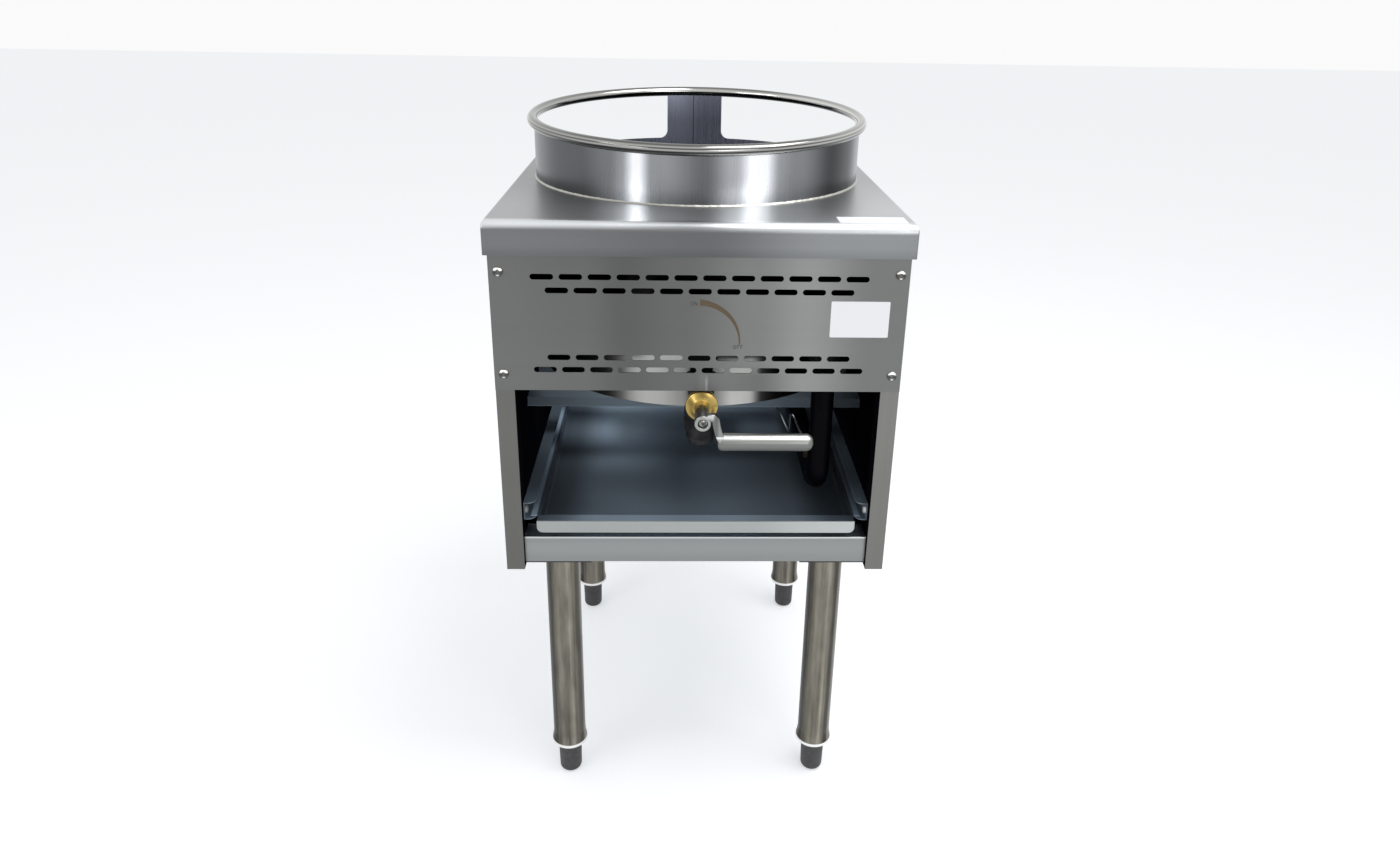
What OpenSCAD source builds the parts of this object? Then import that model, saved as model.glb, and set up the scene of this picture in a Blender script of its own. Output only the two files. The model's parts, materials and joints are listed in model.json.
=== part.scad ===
// Single-burner wok range: a sheet steel cabinet on four tube legs, with a round
// wok ring over a combustion drum, a jet burner fed by pipe, and a lever gas valve.
// Millimetres. Floor at z = 0, front towards -Y, right-hand side +X.

/* [Cabinet] */
// Width over the side panels
cab_w = 450; // [440:1:500]
// Height of the open space under the cabinet
floor_gap = 357.5; // [300:0.5:380]
// Thickness of the cabinet's sheet steel
sheet_t = 1.2; // [0.8:0.1:1.8]
// Width of the flange at each upright corner of the side panels
corner_w = 21; // [18:0.5:26]
// Depth of the return behind each corner flange
return_d = 26; // [24:0.5:32]
// Width of the flanges under the top plate
top_flange_w = 12; // [8:0.5:14]
// Height from the control panel's lower edge to the top plate's upper face
panel_h = 191; // [170:1:230]
// Depth of the control panel's lower return
panel_return = 14; // [8:0.5:18]

/* [Top plate] */
// Overhang of the plate past each side panel
plate_side = 3.5; // [3:0.1:8]
// Overhang of the plate past the control panel and the back panel
plate_front = 8; // [6:0.5:14]
// Thickness of the top plate
plate_t = 1.5; // [1:0.1:2.5]
// Height of the plate's turned-down lip
lip_h = 36; // [25:0.5:45]
// Outer radius of the front and rear bends
plate_bend_r = 10; // [5:0.5:14]
// Outer radius of the side bends
plate_side_r = 4; // [3:0.5:8]

/* [Panel slots] */
// Length of one cooling slot
slot_l = 25; // [18:0.5:27]
// Width of one cooling slot
slot_w = 6.3; // [4:0.1:7]
// Distance between slot centres along a row
slot_pitch = 30.7; // [29:0.1:32]
// Least distance from a side of the cabinet to the middle of a row's last slot
slot_side = 50; // [40:1:80]
// Drop from the plate's upper face to the first row of slots
slot_drop_a = 60.8; // [56:0.1:64]
// Drop from the plate's upper face to the second row of slots
slot_drop_b = 75.8; // [72:0.1:84]
// Rise from the panel's lower edge to the third row of slots
slot_rise_c = 38.9; // [34:0.1:44]
// Rise from the panel's lower edge to the fourth row of slots
slot_rise_d = 24.5; // [18:0.1:27]

/* [Wok ring] */
// Distance from the ring to the cabinet's sides and back
ring_side = 17.5; // [14:0.5:30]
// Gap between the gas valve's housing and the ring
valve_gap = 11.5; // [8:0.5:36]
// Thickness of the ring's sheet
ring_t = 2; // [1.5:0.1:3]
// Height of the rim bead's centre above the top plate, at the ring's middle
rim_h = 73.3; // [60:0.1:90]
// Slope of the rim, higher at the back
rim_tilt = 3; // [0:0.1:4]
// Diameter of the rim bead
bead_d = 13; // [10:0.5:15]
// How far the bead's centre stands outside the ring's outer face
bead_out = 1.8; // [0:0.1:3]
// Height of the windows' lower edge above the top plate
sill_h = 17.3; // [12:0.1:25]
// Half angle of the post between the two rear windows
post_half_a = 11.2; // [8:0.1:16]
// Angle from the back to each window's front end
window_end_a = 90; // [70:1:92]
// Radius of the windows' lower corners
window_r = 11; // [6:0.5:14]
// Size of the weld fillet round the ring's foot
weld_s = 2.2; // [1.5:0.1:3]
// Gap between the burner's pipe and the drum's open lower end
drum_gap = 6.15; // [2:0.05:20]

/* [Burner] */
// Gap between the rear gas run and the crossbars
bar_gap = 18.25; // [8:0.25:40]
// Height of a crossbar's turned-down edges
bar_h = 13.4; // [10:0.1:16]
// Width of a crossbar's upper face
bar_w = 42; // [35:0.5:50]
// Distance from the ring's axis to each crossbar's outer edge
bar_out = 78; // [70:0.5:84]
// Gap between the crossbars and the burner's inlet socket
socket_lift = 6; // [4:0.1:8]
// Radius of the burner's gas chamber
burner_r = 86; // [80:0.5:90]
// Height of the burner's gas chamber
burner_h = 47; // [46:0.5:52]
// Wall of the burner's gas chamber
burner_wall = 8; // [6:0.5:9]
// Radius of the inner ring of jets
jets_inner_r = 34; // [26:0.5:38]
// Radius of the outer ring of jets
jets_outer_r = 66; // [60:0.5:68]
// Jets on the inner ring; the outer ring has twice as many
jets_inner = 6; // [4:1:8]
// Height of a jet above the burner
jet_h = 32; // [25:0.5:36]

/* [Gas line] */
// Outer diameter of the gas pipe
pipe_d = 26.7; // [25.9:0.1:27.2]
// Wall of the gas pipe
pipe_wall = 2.9; // [2.3:0.1:3.4]
// Distance from the cabinet's side to the riser's middle
riser_in = 79; // [73:0.5:100]
// Distance from the control panel's face to the riser and the valve
line_back = 44; // [43:0.5:46]
// Gap between the tray and the coupling on the rear gas run
run_gap = 10.1; // [5:0.1:20]
// Bend radius of the riser's foot
riser_bend = 30; // [26:0.5:36]
// Rise from the valve's stem to the pipe between riser and valve
cross_rise = 77.45; // [70:0.05:100]
// How far the gas inlet stands out behind the back panel
inlet_out = 26; // [20:0.5:40]
// Distance from an elbow's corner to its end
elbow_l = 33.3; // [31:0.1:36]
// Radius of an elbow's body
elbow_r = 17; // [16:0.1:18]
// Radius of the band round an elbow's end
elbow_band_r = 18.5; // [18.2:0.1:19.5]
// Depth that a pipe reaches into a fitting
socket_l = 14; // [11:0.1:16]

/* [Gas valve] */
// Distance from the cabinet's middle to the valve
valve_x = 4; // [0:0.5:8]
// Rise from the valve's stem to the control panel's lower edge
panel_over = 22.45; // [19.5:0.05:30]
// Radius of the brass bonnet round the stem
bonnet_r = 18.4; // [18.1:0.1:19]
// Radius of the stem
stem_r = 8; // [7:0.1:8.5]
// Radius of the lever's boss
boss_r = 9.2; // [8.8:0.1:10]
// Distance from the control panel's face to the lever's front face
boss_front = 40; // [36:0.5:50]
// Length of the lever's boss
boss_l = 28; // [22:0.1:30]
// Depth of the recess in the boss's front face
boss_recess = 3.5; // [2:0.1:4.5]
// Drop from the stem to the grip
grip_drop = 26; // [24:0.5:34]
// Distance from the stem to the grip's outer end
grip_reach = 123; // [100:1:135]
// Diameter of the grip
grip_d = 19.8; // [16:0.1:20.5]

/* [Drip tray] */
// Gap between the tray's pan and a slide
tray_clear = 1.5; // [0.6:0.1:4]
// Height of the tray's front lip
tray_lip_h = 15; // [10:0.5:16]
// Gap between the apron and the tray's lip
tray_gap = 7.5; // [6:0.1:9]
// Gap between the frame rails and the tray's pan
pan_gap = 2.5; // [1:0.1:8]
// Distance from the control panel's face to the tray's lip
tray_back = 5; // [3:0.5:6]
// Distance from the tray's rear edge to the back panel's face
tray_rear = 33; // [10:1:80]
// Depth of the flange behind the tray's lip
tray_front_w = 16; // [14:0.5:24]
// Width of the flange on each long side of the tray
tray_side_w = 9; // [7:0.5:11]
// Radius of the lip's lower corners
tray_corner_r = 7; // [3:0.5:8]
// Radius of the pan's lower bends
pan_bend_r = 5; // [3:0.5:8]
// Height of a slide channel
slide_h = 22.3; // [20:0.1:24]
// Width of a slide channel
slide_w = 14.5; // [13:0.1:16]
// Radius of a slide's free front corners
slide_corner_r = 10; // [4:0.5:12]

/* [Frame rails] */
// Height of the rails at the foot of the cabinet
rail_h = 34; // [28:0.5:40]
// Height of the rails above the side panels' lower edge
rail_lift = 6.4; // [5:0.1:8]
// Depth of the rails' flanges
rail_w = 30; // [22:0.5:40]
// Distance from the control panel's face to the front rail's face
rail_back = 8; // [6:0.5:8]

/* [Legs] */
// Diameter of a leg
leg_d = 42.4; // [38:0.1:45]
// Wall of a leg
leg_wall = 1.5; // [1.2:0.1:2.5]
// Inset of a leg's middle from the side of the top plate
leg_inset_x = 62; // [58:0.5:70]
// Inset of a leg's middle from the control panel's face
leg_inset_y = 63.5; // [60:0.5:70]
// Diameter of the flared end of a leg
flare_d = 47.5; // [46:0.1:50]
// Height of the flare
flare_h = 16; // [10:0.5:22]
// Thickness of the plate that each leg is welded to
leg_plate_t = 3; // [2:0.1:4]
// Width of the plate that each leg is welded to
leg_plate_w = 82; // [78:1:90]
// Height of a leg's lower end above the floor
foot_h = 50; // [45:0.5:60]
// Diameter of a foot
foot_d = 31; // [28:0.5:36]
// Radius of a foot's lower edge
foot_round = 7; // [4:0.5:9]
// Diameter of a foot's threaded stud
stud_d = 12; // [10:0.5:14]
// How far a foot screws out
foot_travel = 20; // [10:1:25]

/* [Fasteners] */
// Diameter of a pan-head screw's head
head_d = 10.5; // [9:0.1:11]
// Height of a pan-head screw's head
head_h = 3.4; // [2.5:0.1:4]
// Diameter of a panel screw's shank
shank_d = 5; // [4:0.1:5.2]
// Length of a panel screw's shank
shank_l = 10; // [8:0.5:14]
// Distance from the top plate's face to the upper panel screws
screw_drop = 55.7; // [50:0.1:60]
// Distance from the panel's lower edge to the lower panel screws
screw_rise = 19.2; // [12:0.1:25]

/* [Label] */
// Width of the blank label
label_w = 64; // [50:1:70]
// Height of the blank label
label_h = 41; // [30:1:45]
// Thickness of the blank label
label_t = 0.4; // [0.3:0.1:0.8]
// Distance from the cabinet's side to the label's middle
label_in = 51; // [45:1:70]
// Drop from the top plate's face to the label's middle
label_drop = 106; // [98:1:112]
// Radius of the label's corners
label_r = 4; // [1:0.5:8]

/* [Pilot] */
// Diameter of the pilot tube
pilot_tube_d = 3.2; // [3:0.1:4]
// Radius of the pilot burner's tip
pilot_tip_r = 5; // [4.5:0.1:6]
// Height of the pilot burner's tip
pilot_tip_h = 30; // [24:0.5:36]

/* [Hidden] */
$fn = 48;

// Running clearance between the stem and its bore
stem_clear = 0.05;
// Clearance round a screw's shank or a pipe in its hole
hole_clear = 0.25;
// Gap between surfaces that slide past each other
slide_clear = 0.3;
// Clearance between a pipe and the fitting that it screws into
thread_clear = 0.12;
// How far a cut reaches past the face it opens
over = 1;

// The ring fills the cabinet's width, and the cabinet is as deep as the ring needs.
// The frame's origin lies under the middle of the whole range.
housing_back = 20;
ring_front = line_back + housing_back + valve_gap;
ring_r = cab_w / 2 - ring_side;
cab_d = ring_front + 2 * ring_r + ring_side;
front_y = -(cab_d + inlet_out - boss_front) / 2;
ring_y = front_y + ring_front + ring_r;
line_y = front_y + line_back;
back_y = front_y + cab_d;

// Pipe, and the housing of the valve's stem
pipe_r = pipe_d / 2;
pipe_in_r = pipe_r - pipe_wall;
socket_r = pipe_r + thread_clear;
elbow_in = elbow_l - socket_l;
housing_r = 15.5;
housing_end_t = 2;

// Heights, each carried by the piece below it
rail_z = floor_gap + rail_lift;
rail_top_z = rail_z + rail_h;
tray_z = rail_top_z + tray_gap + tray_lip_h;
pan_h = tray_gap + tray_lip_h - pan_gap;
run_z = tray_z + run_gap + elbow_band_r;
bar_z = run_z + pipe_r + bar_gap + bar_h;
outlet_z = bar_z + socket_lift + elbow_band_r;
drum_z = outlet_z + pipe_r + drum_gap;
valve_z = outlet_z + elbow_l + housing_r + hole_clear;
cross_z = valve_z + cross_rise;
panel_z = valve_z + panel_over;
work_h = panel_z + panel_h;
under_plate_z = work_h - plate_t;

// Places across the cabinet
riser_x = cab_w / 2 - riser_in;
label_x = cab_w / 2 - label_in;
wall_x = cab_w / 2 - sheet_t;
return_x = cab_w / 2 - corner_w;
screw_x = cab_w / 2 - corner_w / 2;
screw_zs = [work_h - screw_drop, panel_z + screw_rise];
slot_long = 1 + floor((cab_w - 2 * slot_side) / slot_pitch);
slide_z = tray_z - sheet_t - slide_clear - sheet_t;
slide_screw_z = slide_z + slide_h / 2;
slide_screw_in = 20;
slide_front = 14;
panel_inner_x = return_x - slide_clear;
leg_x = cab_w / 2 + plate_side - leg_inset_x;
leg_top_z = rail_z - leg_plate_t;
ring_in_r = ring_r - ring_t;
bead_r = ring_r + bead_out;

// Leg insert and foot
insert_h = foot_travel;
stud_gap = 2;

// Heads of the small screws that hold the slides
slide_head_d = 9;
slide_head_h = 3.6;

// Burner: bolts, lugs, inlet socket and jets
bolt_r = 4;
bolt_in = 14;
bolt_out = 10.3;
bolt_x = sqrt(pow(burner_r + bolt_out, 2) - pow(bar_out - bolt_in, 2));
lug_r = 14;
lug_h = 10;
nut_h = 6.5;
burner_socket_out = 14;
jet_thread_r = 5;
jet_hex_r = 8;
jet_bore_r = 1.2;

// Pipe fittings
band_l = 10;
outlet_band_r = 19.4;
coupling_in = 60;
coupling_l = 40;
fitting_r = 6;
thread_l = 20;
thread_cut = 0.25;

// Valve body
body_up = 26;
valve_barrel_r = 15.5;
valve_hex_h = 14;
valve_hex_r = 19;
valve_port_r = 6.5;
bonnet_y = 8;
bonnet_l = 7;
bonnet_hub = 6;

// Stem and lever
stem_port_r = 5;
spigot_r = 5;
spigot_in = 6;
spigot_l = boss_l - spigot_in;
lever_screw_l = 6;
lever_bolt_r = 2.2;
lever_head_d = 7;
lever_recess_r = 5.8;
grip_start = 14;
arm_w = 7;
arm_t = 8;
arm_in = 2.5;

function side_sign(name) = name == "left" ? -1 : 1;

module box(low, high) {
    translate(low) cube(high - low);
}

// Rectangle on the 2D origin's X axis, h high, with its two upper corners rounded
module arch_2d(w, h, r) {
    translate([-w / 2, 0]) square([w, h - r]);
    translate([-w / 2 + r, 0]) square([w - 2 * r, h]);
    for (s = [-1, 1])
        translate([s * (w / 2 - r), h - r]) circle(r);
}

// Slot with round ends, l long and w wide, centred
module slot_2d(l, w) {
    square([l - w, w], center = true);
    for (s = [-1, 1])
        translate([s * (l - w) / 2, 0]) circle(w / 2);
}

// Rectangle centred on the origin with four rounded corners
module round_rect_2d(w, h, r) {
    square([w - 2 * r, h], center = true);
    square([w, h - 2 * r], center = true);
    for (sx = [-1, 1], sz = [-1, 1])
        translate([sx * (w / 2 - r), sz * (h / 2 - r)]) circle(r);
}

module tube(r, wall, l) {
    difference() {
        cylinder(r = r, h = l);
        translate([0, 0, -over]) cylinder(r = r - wall, h = l + 2 * over);
    }
}

// Pan-head screw along +Z with its head's seat at the origin
module pan_screw(d_head, h_head, d_shank, l_shank) {
    recess_w = d_head / 6;
    difference() {
        union() {
            intersection() {
                cylinder(r = d_head / 2, h = h_head);
                translate([0, 0, h_head - d_head]) sphere(r = d_head, $fn = 64);
            }
            translate([0, 0, -l_shank]) cylinder(r = d_shank / 2, h = l_shank + h_head / 2);
        }
        for (a = [0, 90])
            rotate([0, 0, a]) translate([0, 0, h_head])
                cube([d_head / 2, recess_w, h_head], center = true);
    }
}

// The top plate's outline as two crossed, rounded sections, d thick inside it
module plate_block(inset, h) {
    w = cab_w + 2 * plate_side - 2 * inset;
    d = cab_d + 2 * plate_front - 2 * inset;
    intersection() {
        rotate([90, 0, 90]) translate([0, 0, -w / 2])
            linear_extrude(w) arch_2d(d, h - inset, plate_bend_r - inset);
        rotate([90, 0, 0]) translate([0, 0, -d / 2])
            linear_extrude(d) arch_2d(w, h - inset, plate_side_r - inset);
    }
}

module top_plate() {
    color("silver")
    translate([0, front_y + cab_d / 2, work_h - lip_h]) difference() {
        plate_block(0, lip_h);
        translate([0, 0, -over]) plate_block(plate_t, lip_h + over);
        translate([0, ring_y - front_y - cab_d / 2, 0])
            cylinder(r = ring_in_r, h = lip_h + over, $fn = 128);
    }
}

// Cuts its children to the room inside the top plate's lips and below it
module under_plate() {
    intersection() {
        union() children();
        translate([0, front_y + cab_d / 2, 0]) plate_block(plate_t, work_h);
    }
}

// Everything above the slope that lies lift over the rim bead's middle
module above_rim(lift) {
    translate([0, ring_y, work_h + rim_h]) rotate([rim_tilt, 0, 0])
        translate([0, 0, lift]) cylinder(r = 2 * ring_r, h = ring_r);
}

// Outline of a window's end: its lower corner on side s is rounded
module window_end_2d(s, h) {
    translate([0, window_r]) circle(window_r);
    translate([-window_r, window_r]) square([2 * window_r, h]);
    translate([s > 0 ? -window_r : 0, 0]) square([window_r, 2 * window_r]);
}

// Opening through the ring's wall, from start_a to end_a measured from the back
module window_cut(start_a, end_a) {
    corner_a = asin(window_r / ring_r);
    span = end_a - start_a - 3 * corner_a;
    translate([0, ring_y, work_h + sill_h]) {
        rotate([0, 0, 90 + start_a + 1.5 * corner_a])
            rotate_extrude(angle = span) translate([ring_in_r - over, 0])
                square([ring_t + 2 * over, rim_h]);
        for (end = [[start_a + corner_a, 1], [end_a - corner_a, -1]])
            rotate([0, 0, end[0]]) rotate([90, 0, 0]) translate([0, 0, -1.2 * ring_r])
                linear_extrude(0.4 * ring_r) window_end_2d(end[1], rim_h);
    }
}

// The sheet ends on the slope where its outer face meets the bead, which it comes nearest at the front
module wok_ring() {
    bead_near = max(0, bead_r - ring_r / cos(rim_tilt) - bead_d / 2 * tan(rim_tilt));
    rim_seat = sqrt(bead_d * bead_d / 4 - bead_near * bead_near);
    color("silver")
    difference() {
        translate([0, ring_y, work_h]) tube(ring_r, ring_t, rim_h + ring_r / 10, $fn = 128);
        above_rim(-rim_seat);
        window_cut(post_half_a, window_end_a);
        mirror([1, 0, 0]) window_cut(post_half_a, window_end_a);
    }
}

module ring_weld() {
    color("lightgray")
    translate([0, ring_y, work_h])
        rotate_extrude($fn = 128) polygon([[ring_r, 0], [ring_r + weld_s, 0], [ring_r, weld_s]]);
}

module rim_bead() {
    color("gainsboro")
    translate([0, ring_y, work_h + rim_h]) rotate([rim_tilt, 0, 0])
        rotate_extrude($fn = 128) translate([bead_r, 0]) circle(bead_d / 2, $fn = 32);
}

module combustion_drum() {
    color("slategray")
    translate([0, ring_y, drum_z]) tube(ring_r, ring_t, under_plate_z - drum_z, $fn = 128);
}

module slot_row(count, z) {
    for (i = [0 : count - 1])
        translate([(i - (count - 1) / 2) * slot_pitch, front_y, z]) rotate([90, 0, 0])
            translate([0, 0, -sheet_t - over]) linear_extrude(sheet_t + 2 * over)
                slot_2d(slot_l, slot_w);
}

// Holes for panel screws through sheets that lie at y
module screw_holes(y, depth) {
    for (s = [-1, 1], z = screw_zs)
        translate([s * screw_x, y, z]) rotate([-90, 0, 0]) translate([0, 0, -over])
            cylinder(r = shank_d / 2 + hole_clear, h = depth + 2 * over);
}

module control_panel() {
    color("gray")
    difference() {
        under_plate() {
            box([-cab_w / 2, front_y, panel_z], [cab_w / 2, front_y + sheet_t, under_plate_z]);
            box([-panel_inner_x, front_y, panel_z],
                [panel_inner_x, front_y + panel_return, panel_z + sheet_t]);
            box([-panel_inner_x, front_y, under_plate_z - sheet_t],
                [panel_inner_x, front_y + panel_return, under_plate_z]);
        }
        slot_row(slot_long, work_h - slot_drop_a);
        slot_row(slot_long - 1, work_h - slot_drop_b);
        slot_row(slot_long - 1, panel_z + slot_rise_c);
        slot_row(slot_long, panel_z + slot_rise_d);
        screw_holes(front_y, sheet_t);
    }
}

module panel_screws() {
    color("whitesmoke")
    for (s = [-1, 1], z = screw_zs)
        translate([s * screw_x, front_y, z]) rotate([90, 0, 0])
            pan_screw(head_d, head_h, shank_d, shank_l);
}

module blank_label() {
    color("white")
    translate([label_x, front_y, work_h - label_drop]) rotate([90, 0, 0])
        linear_extrude(label_t) round_rect_2d(label_w, label_h, label_r);
}

// Right-hand side panel with its corner flanges, returns and top flange
module side_sheet() {
    front = front_y + sheet_t;
    back = back_y - sheet_t;
    difference() {
        under_plate() {
            box([wall_x, front, floor_gap], [cab_w / 2, back, under_plate_z]);
            for (y = [front, back - sheet_t])
                box([return_x, y, floor_gap], [cab_w / 2, y + sheet_t, under_plate_z]);
            box([return_x, front, floor_gap], [return_x + sheet_t, front + return_d, under_plate_z]);
            box([return_x, back - return_d, floor_gap], [return_x + sheet_t, back, under_plate_z]);
            box([cab_w / 2 - top_flange_w, front, under_plate_z - sheet_t],
                [cab_w / 2, back, under_plate_z]);
        }
        screw_holes(front, sheet_t);
        screw_holes(back - sheet_t, sheet_t);
        slide_screw_holes();
    }
}

module slide_screw_holes() {
    for (y = [front_y + slide_screw_in, back_y - slide_screw_in])
        translate([return_x - 2 * sheet_t, y, slide_screw_z]) rotate([0, 90, 0])
            cylinder(r = shank_d / 2 + hole_clear, h = 4 * sheet_t);
}

module side_panel(name) {
    color("darkgray")
    mirror([side_sign(name) < 0 ? 1 : 0, 0, 0]) side_sheet();
}

module back_panel() {
    color("darkgray")
    difference() {
        under_plate() box([-cab_w / 2, back_y - sheet_t, floor_gap], [cab_w / 2, back_y, under_plate_z]);
        screw_holes(back_y - sheet_t, sheet_t);
        translate([riser_x, back_y + over, run_z]) rotate([90, 0, 0])
            cylinder(r = pipe_r + 4 * hole_clear, h = sheet_t + 2 * over);
    }
}

module back_screws() {
    color("whitesmoke")
    for (s = [-1, 1], z = screw_zs)
        translate([s * screw_x, back_y, z]) rotate([-90, 0, 0])
            pan_screw(head_d, head_h, shank_d, shank_l);
}

// Channel rail between the corner returns, with its face at y and its flanges behind
module channel_rail() {
    box([-return_x, 0, rail_z], [return_x, sheet_t, rail_top_z]);
    for (z = [rail_z, rail_top_z - sheet_t])
        box([-return_x, 0, z], [return_x, rail_w, z + sheet_t]);
}

module front_apron() {
    color("lightslategray")
    translate([0, front_y + rail_back, 0]) channel_rail();
}

module rear_rail() {
    color("lightslategray")
    translate([0, back_y - rail_back, 0]) mirror([0, 1, 0]) channel_rail();
}

// Places a child made for the front right corner at any of the four corners
module at_corner(front, side) {
    translate([0, front_y + cab_d / 2, 0])
        mirror([side < 0 ? 1 : 0, 0, 0]) mirror([0, front < 0 ? 0 : 1, 0])
            translate([0, -cab_d / 2, 0]) children();
}

// Plate under a rail, cut back round the corner return
module leg_plate() {
    in_x = leg_x - leg_plate_w / 2;
    in_y = rail_back + 2 * sheet_t;
    out_y = leg_inset_y + leg_plate_w * 0.66;
    color("dimgray")
    translate([0, 0, leg_top_z]) linear_extrude(leg_plate_t) polygon([
        [in_x, in_y], [return_x, in_y], [return_x, sheet_t + return_d],
        [wall_x, sheet_t + return_d], [wall_x, out_y], [in_x, out_y]]);
}

module leg_tube() {
    flare_r = flare_d / 2;
    r = leg_d / 2;
    color("rosybrown")
    translate([leg_x, leg_inset_y, 0]) rotate_extrude($fn = 64) polygon([
        [r, leg_top_z], [r, foot_h + flare_h], [r + (flare_r - r) * 0.45, foot_h + flare_h * 0.5],
        [flare_r, foot_h + leg_wall], [flare_r, foot_h], [flare_r - leg_wall, foot_h],
        [r - leg_wall + (flare_r - r) * 0.45, foot_h + flare_h * 0.5],
        [r - leg_wall, foot_h + flare_h], [r - leg_wall, leg_top_z]]);
}

// Threaded plug pressed into the leg's lower end
module leg_insert() {
    plug_r = leg_d / 2 - leg_wall;
    plug_z = foot_h + flare_h;
    color("silver")
    translate([leg_x, leg_inset_y, 0]) difference() {
        union() {
            translate([0, 0, plug_z]) cylinder(r = plug_r, h = insert_h);
            translate([0, 0, foot_h]) cylinder(r = foot_d / 2, h = flare_h);
            translate([0, 0, foot_h]) cylinder(r = flare_d / 2 - 1.5 * leg_wall, h = leg_wall);
        }
        translate([0, 0, foot_h - over])
            cylinder(r = stud_d / 2 + stem_clear, h = insert_h + flare_h + 2 * over);
    }
}

// Bullet foot with its stud; the foot tapers a little and is rounded below
module foot() {
    r = foot_d / 2;
    low_r = r * 0.94;
    color("dimgray")
    translate([leg_x, leg_inset_y, 0]) {
        rotate_extrude() {
            polygon([[0, 0], [low_r - foot_round, 0], [low_r, foot_round],
                [r, foot_h - slide_clear], [0, foot_h - slide_clear]]);
            intersection() {
                translate([low_r - foot_round, foot_round]) circle(foot_round);
                square([low_r, foot_h]);
            }
        }
        cylinder(r = stud_d / 2, h = foot_h + flare_h + insert_h - stud_gap);
    }
}

// Right-hand slide: a channel open to the tray, with its free front corners rounded
module slide_channel() {
    out_x = return_x;
    in_x = out_x - slide_w;
    start_y = front_y + slide_front;
    end_y = back_y - slide_front;
    screw_y = [front_y + slide_screw_in, back_y - slide_screw_in];
    difference() {
        union() {
            box([out_x - sheet_t, start_y, slide_z], [out_x, end_y, slide_z + slide_h]);
            for (z = [slide_z, slide_z + slide_h - sheet_t])
                translate([0, 0, z]) linear_extrude(sheet_t) {
                    translate([in_x, start_y + slide_corner_r])
                        square([slide_w, end_y - start_y - slide_corner_r]);
                    translate([in_x + slide_corner_r, start_y])
                        square([slide_w - slide_corner_r, end_y - start_y]);
                    intersection() {
                        translate([in_x + slide_corner_r, start_y + slide_corner_r])
                            circle(slide_corner_r);
                        translate([in_x, start_y]) square([slide_w, 2 * slide_corner_r]);
                    }
                }
        }
        slide_screw_holes();
    }
}

module tray_slide(name) {
    color("slategray")
    mirror([side_sign(name) < 0 ? 1 : 0, 0, 0]) slide_channel();
}

module slide_screws() {
    color("whitesmoke")
    for (s = [0, 1], y = [front_y + slide_screw_in, back_y - slide_screw_in])
        mirror([s, 0, 0]) translate([return_x - sheet_t, y, slide_screw_z]) rotate([0, -90, 0])
            pan_screw(slide_head_d, slide_head_h, shank_d, shank_l);
}

// Pan section along Y: floor, two walls and rounded lower bends
module pan_2d(half_w, h, r) {
    translate([0, h]) mirror([0, 1]) arch_2d(2 * half_w, h, r);
}

module drip_tray() {
    y0 = front_y + tray_back;
    y1 = y0 + tray_front_w;
    y3 = back_y - tray_rear;
    y2 = y3 - tray_side_w;
    lip_x = return_x - slide_w - tray_clear;
    flange_x = lip_x + tray_side_w;
    pan_z = tray_z - pan_h;
    color("steelblue")
    difference() {
        union() {
            translate([0, y2 + sheet_t, pan_z]) rotate([90, 0, 0])
                linear_extrude(y2 - y1 + 2 * sheet_t) pan_2d(lip_x, pan_h, pan_bend_r);
            box([-flange_x, y1 - sheet_t, tray_z - sheet_t], [flange_x, y3, tray_z]);
            box([-lip_x, y0, tray_z - sheet_t], [lip_x, y1, tray_z]);
            translate([0, y0 + sheet_t, tray_z - tray_lip_h]) rotate([90, 0, 0])
                linear_extrude(sheet_t) pan_2d(lip_x, tray_lip_h, tray_corner_r);
        }
        translate([0, y2, pan_z + sheet_t]) rotate([90, 0, 0]) linear_extrude(y2 - y1)
            pan_2d(lip_x - sheet_t, pan_h, pan_bend_r - sheet_t);
    }
}

// Channel across the cabinet that the burner stands on, outer edge at y = 0
module crossbar() {
    difference() {
        box([-wall_x, 0, bar_z - bar_h], [wall_x, bar_w, bar_z]);
        box([-wall_x - over, sheet_t, bar_z - bar_h - over],
            [wall_x + over, bar_w - sheet_t, bar_z - sheet_t]);
        for (s = [-1, 1])
            translate([s * bolt_x, bolt_in, bar_z - 2 * sheet_t])
                cylinder(r = bolt_r + hole_clear, h = 3 * sheet_t);
    }
}

module crossbar_front() {
    color("slategray")
    translate([0, ring_y - bar_out, 0]) crossbar();
}

module crossbar_rear() {
    color("slategray")
    translate([0, ring_y + bar_out, 0]) mirror([0, 1, 0]) crossbar();
}

// Calls its child once at each jet's place, on top of the burner
module at_jets() {
    translate([0, ring_y, bar_z + burner_h]) {
        children();
        for (i = [0 : jets_inner - 1])
            rotate([0, 0, 360 * i / jets_inner]) translate([jets_inner_r, 0, 0]) children();
        for (i = [0 : 2 * jets_inner - 1])
            rotate([0, 0, 180 * (i + 0.5) / jets_inner]) translate([jets_outer_r, 0, 0]) children();
    }
}

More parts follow.
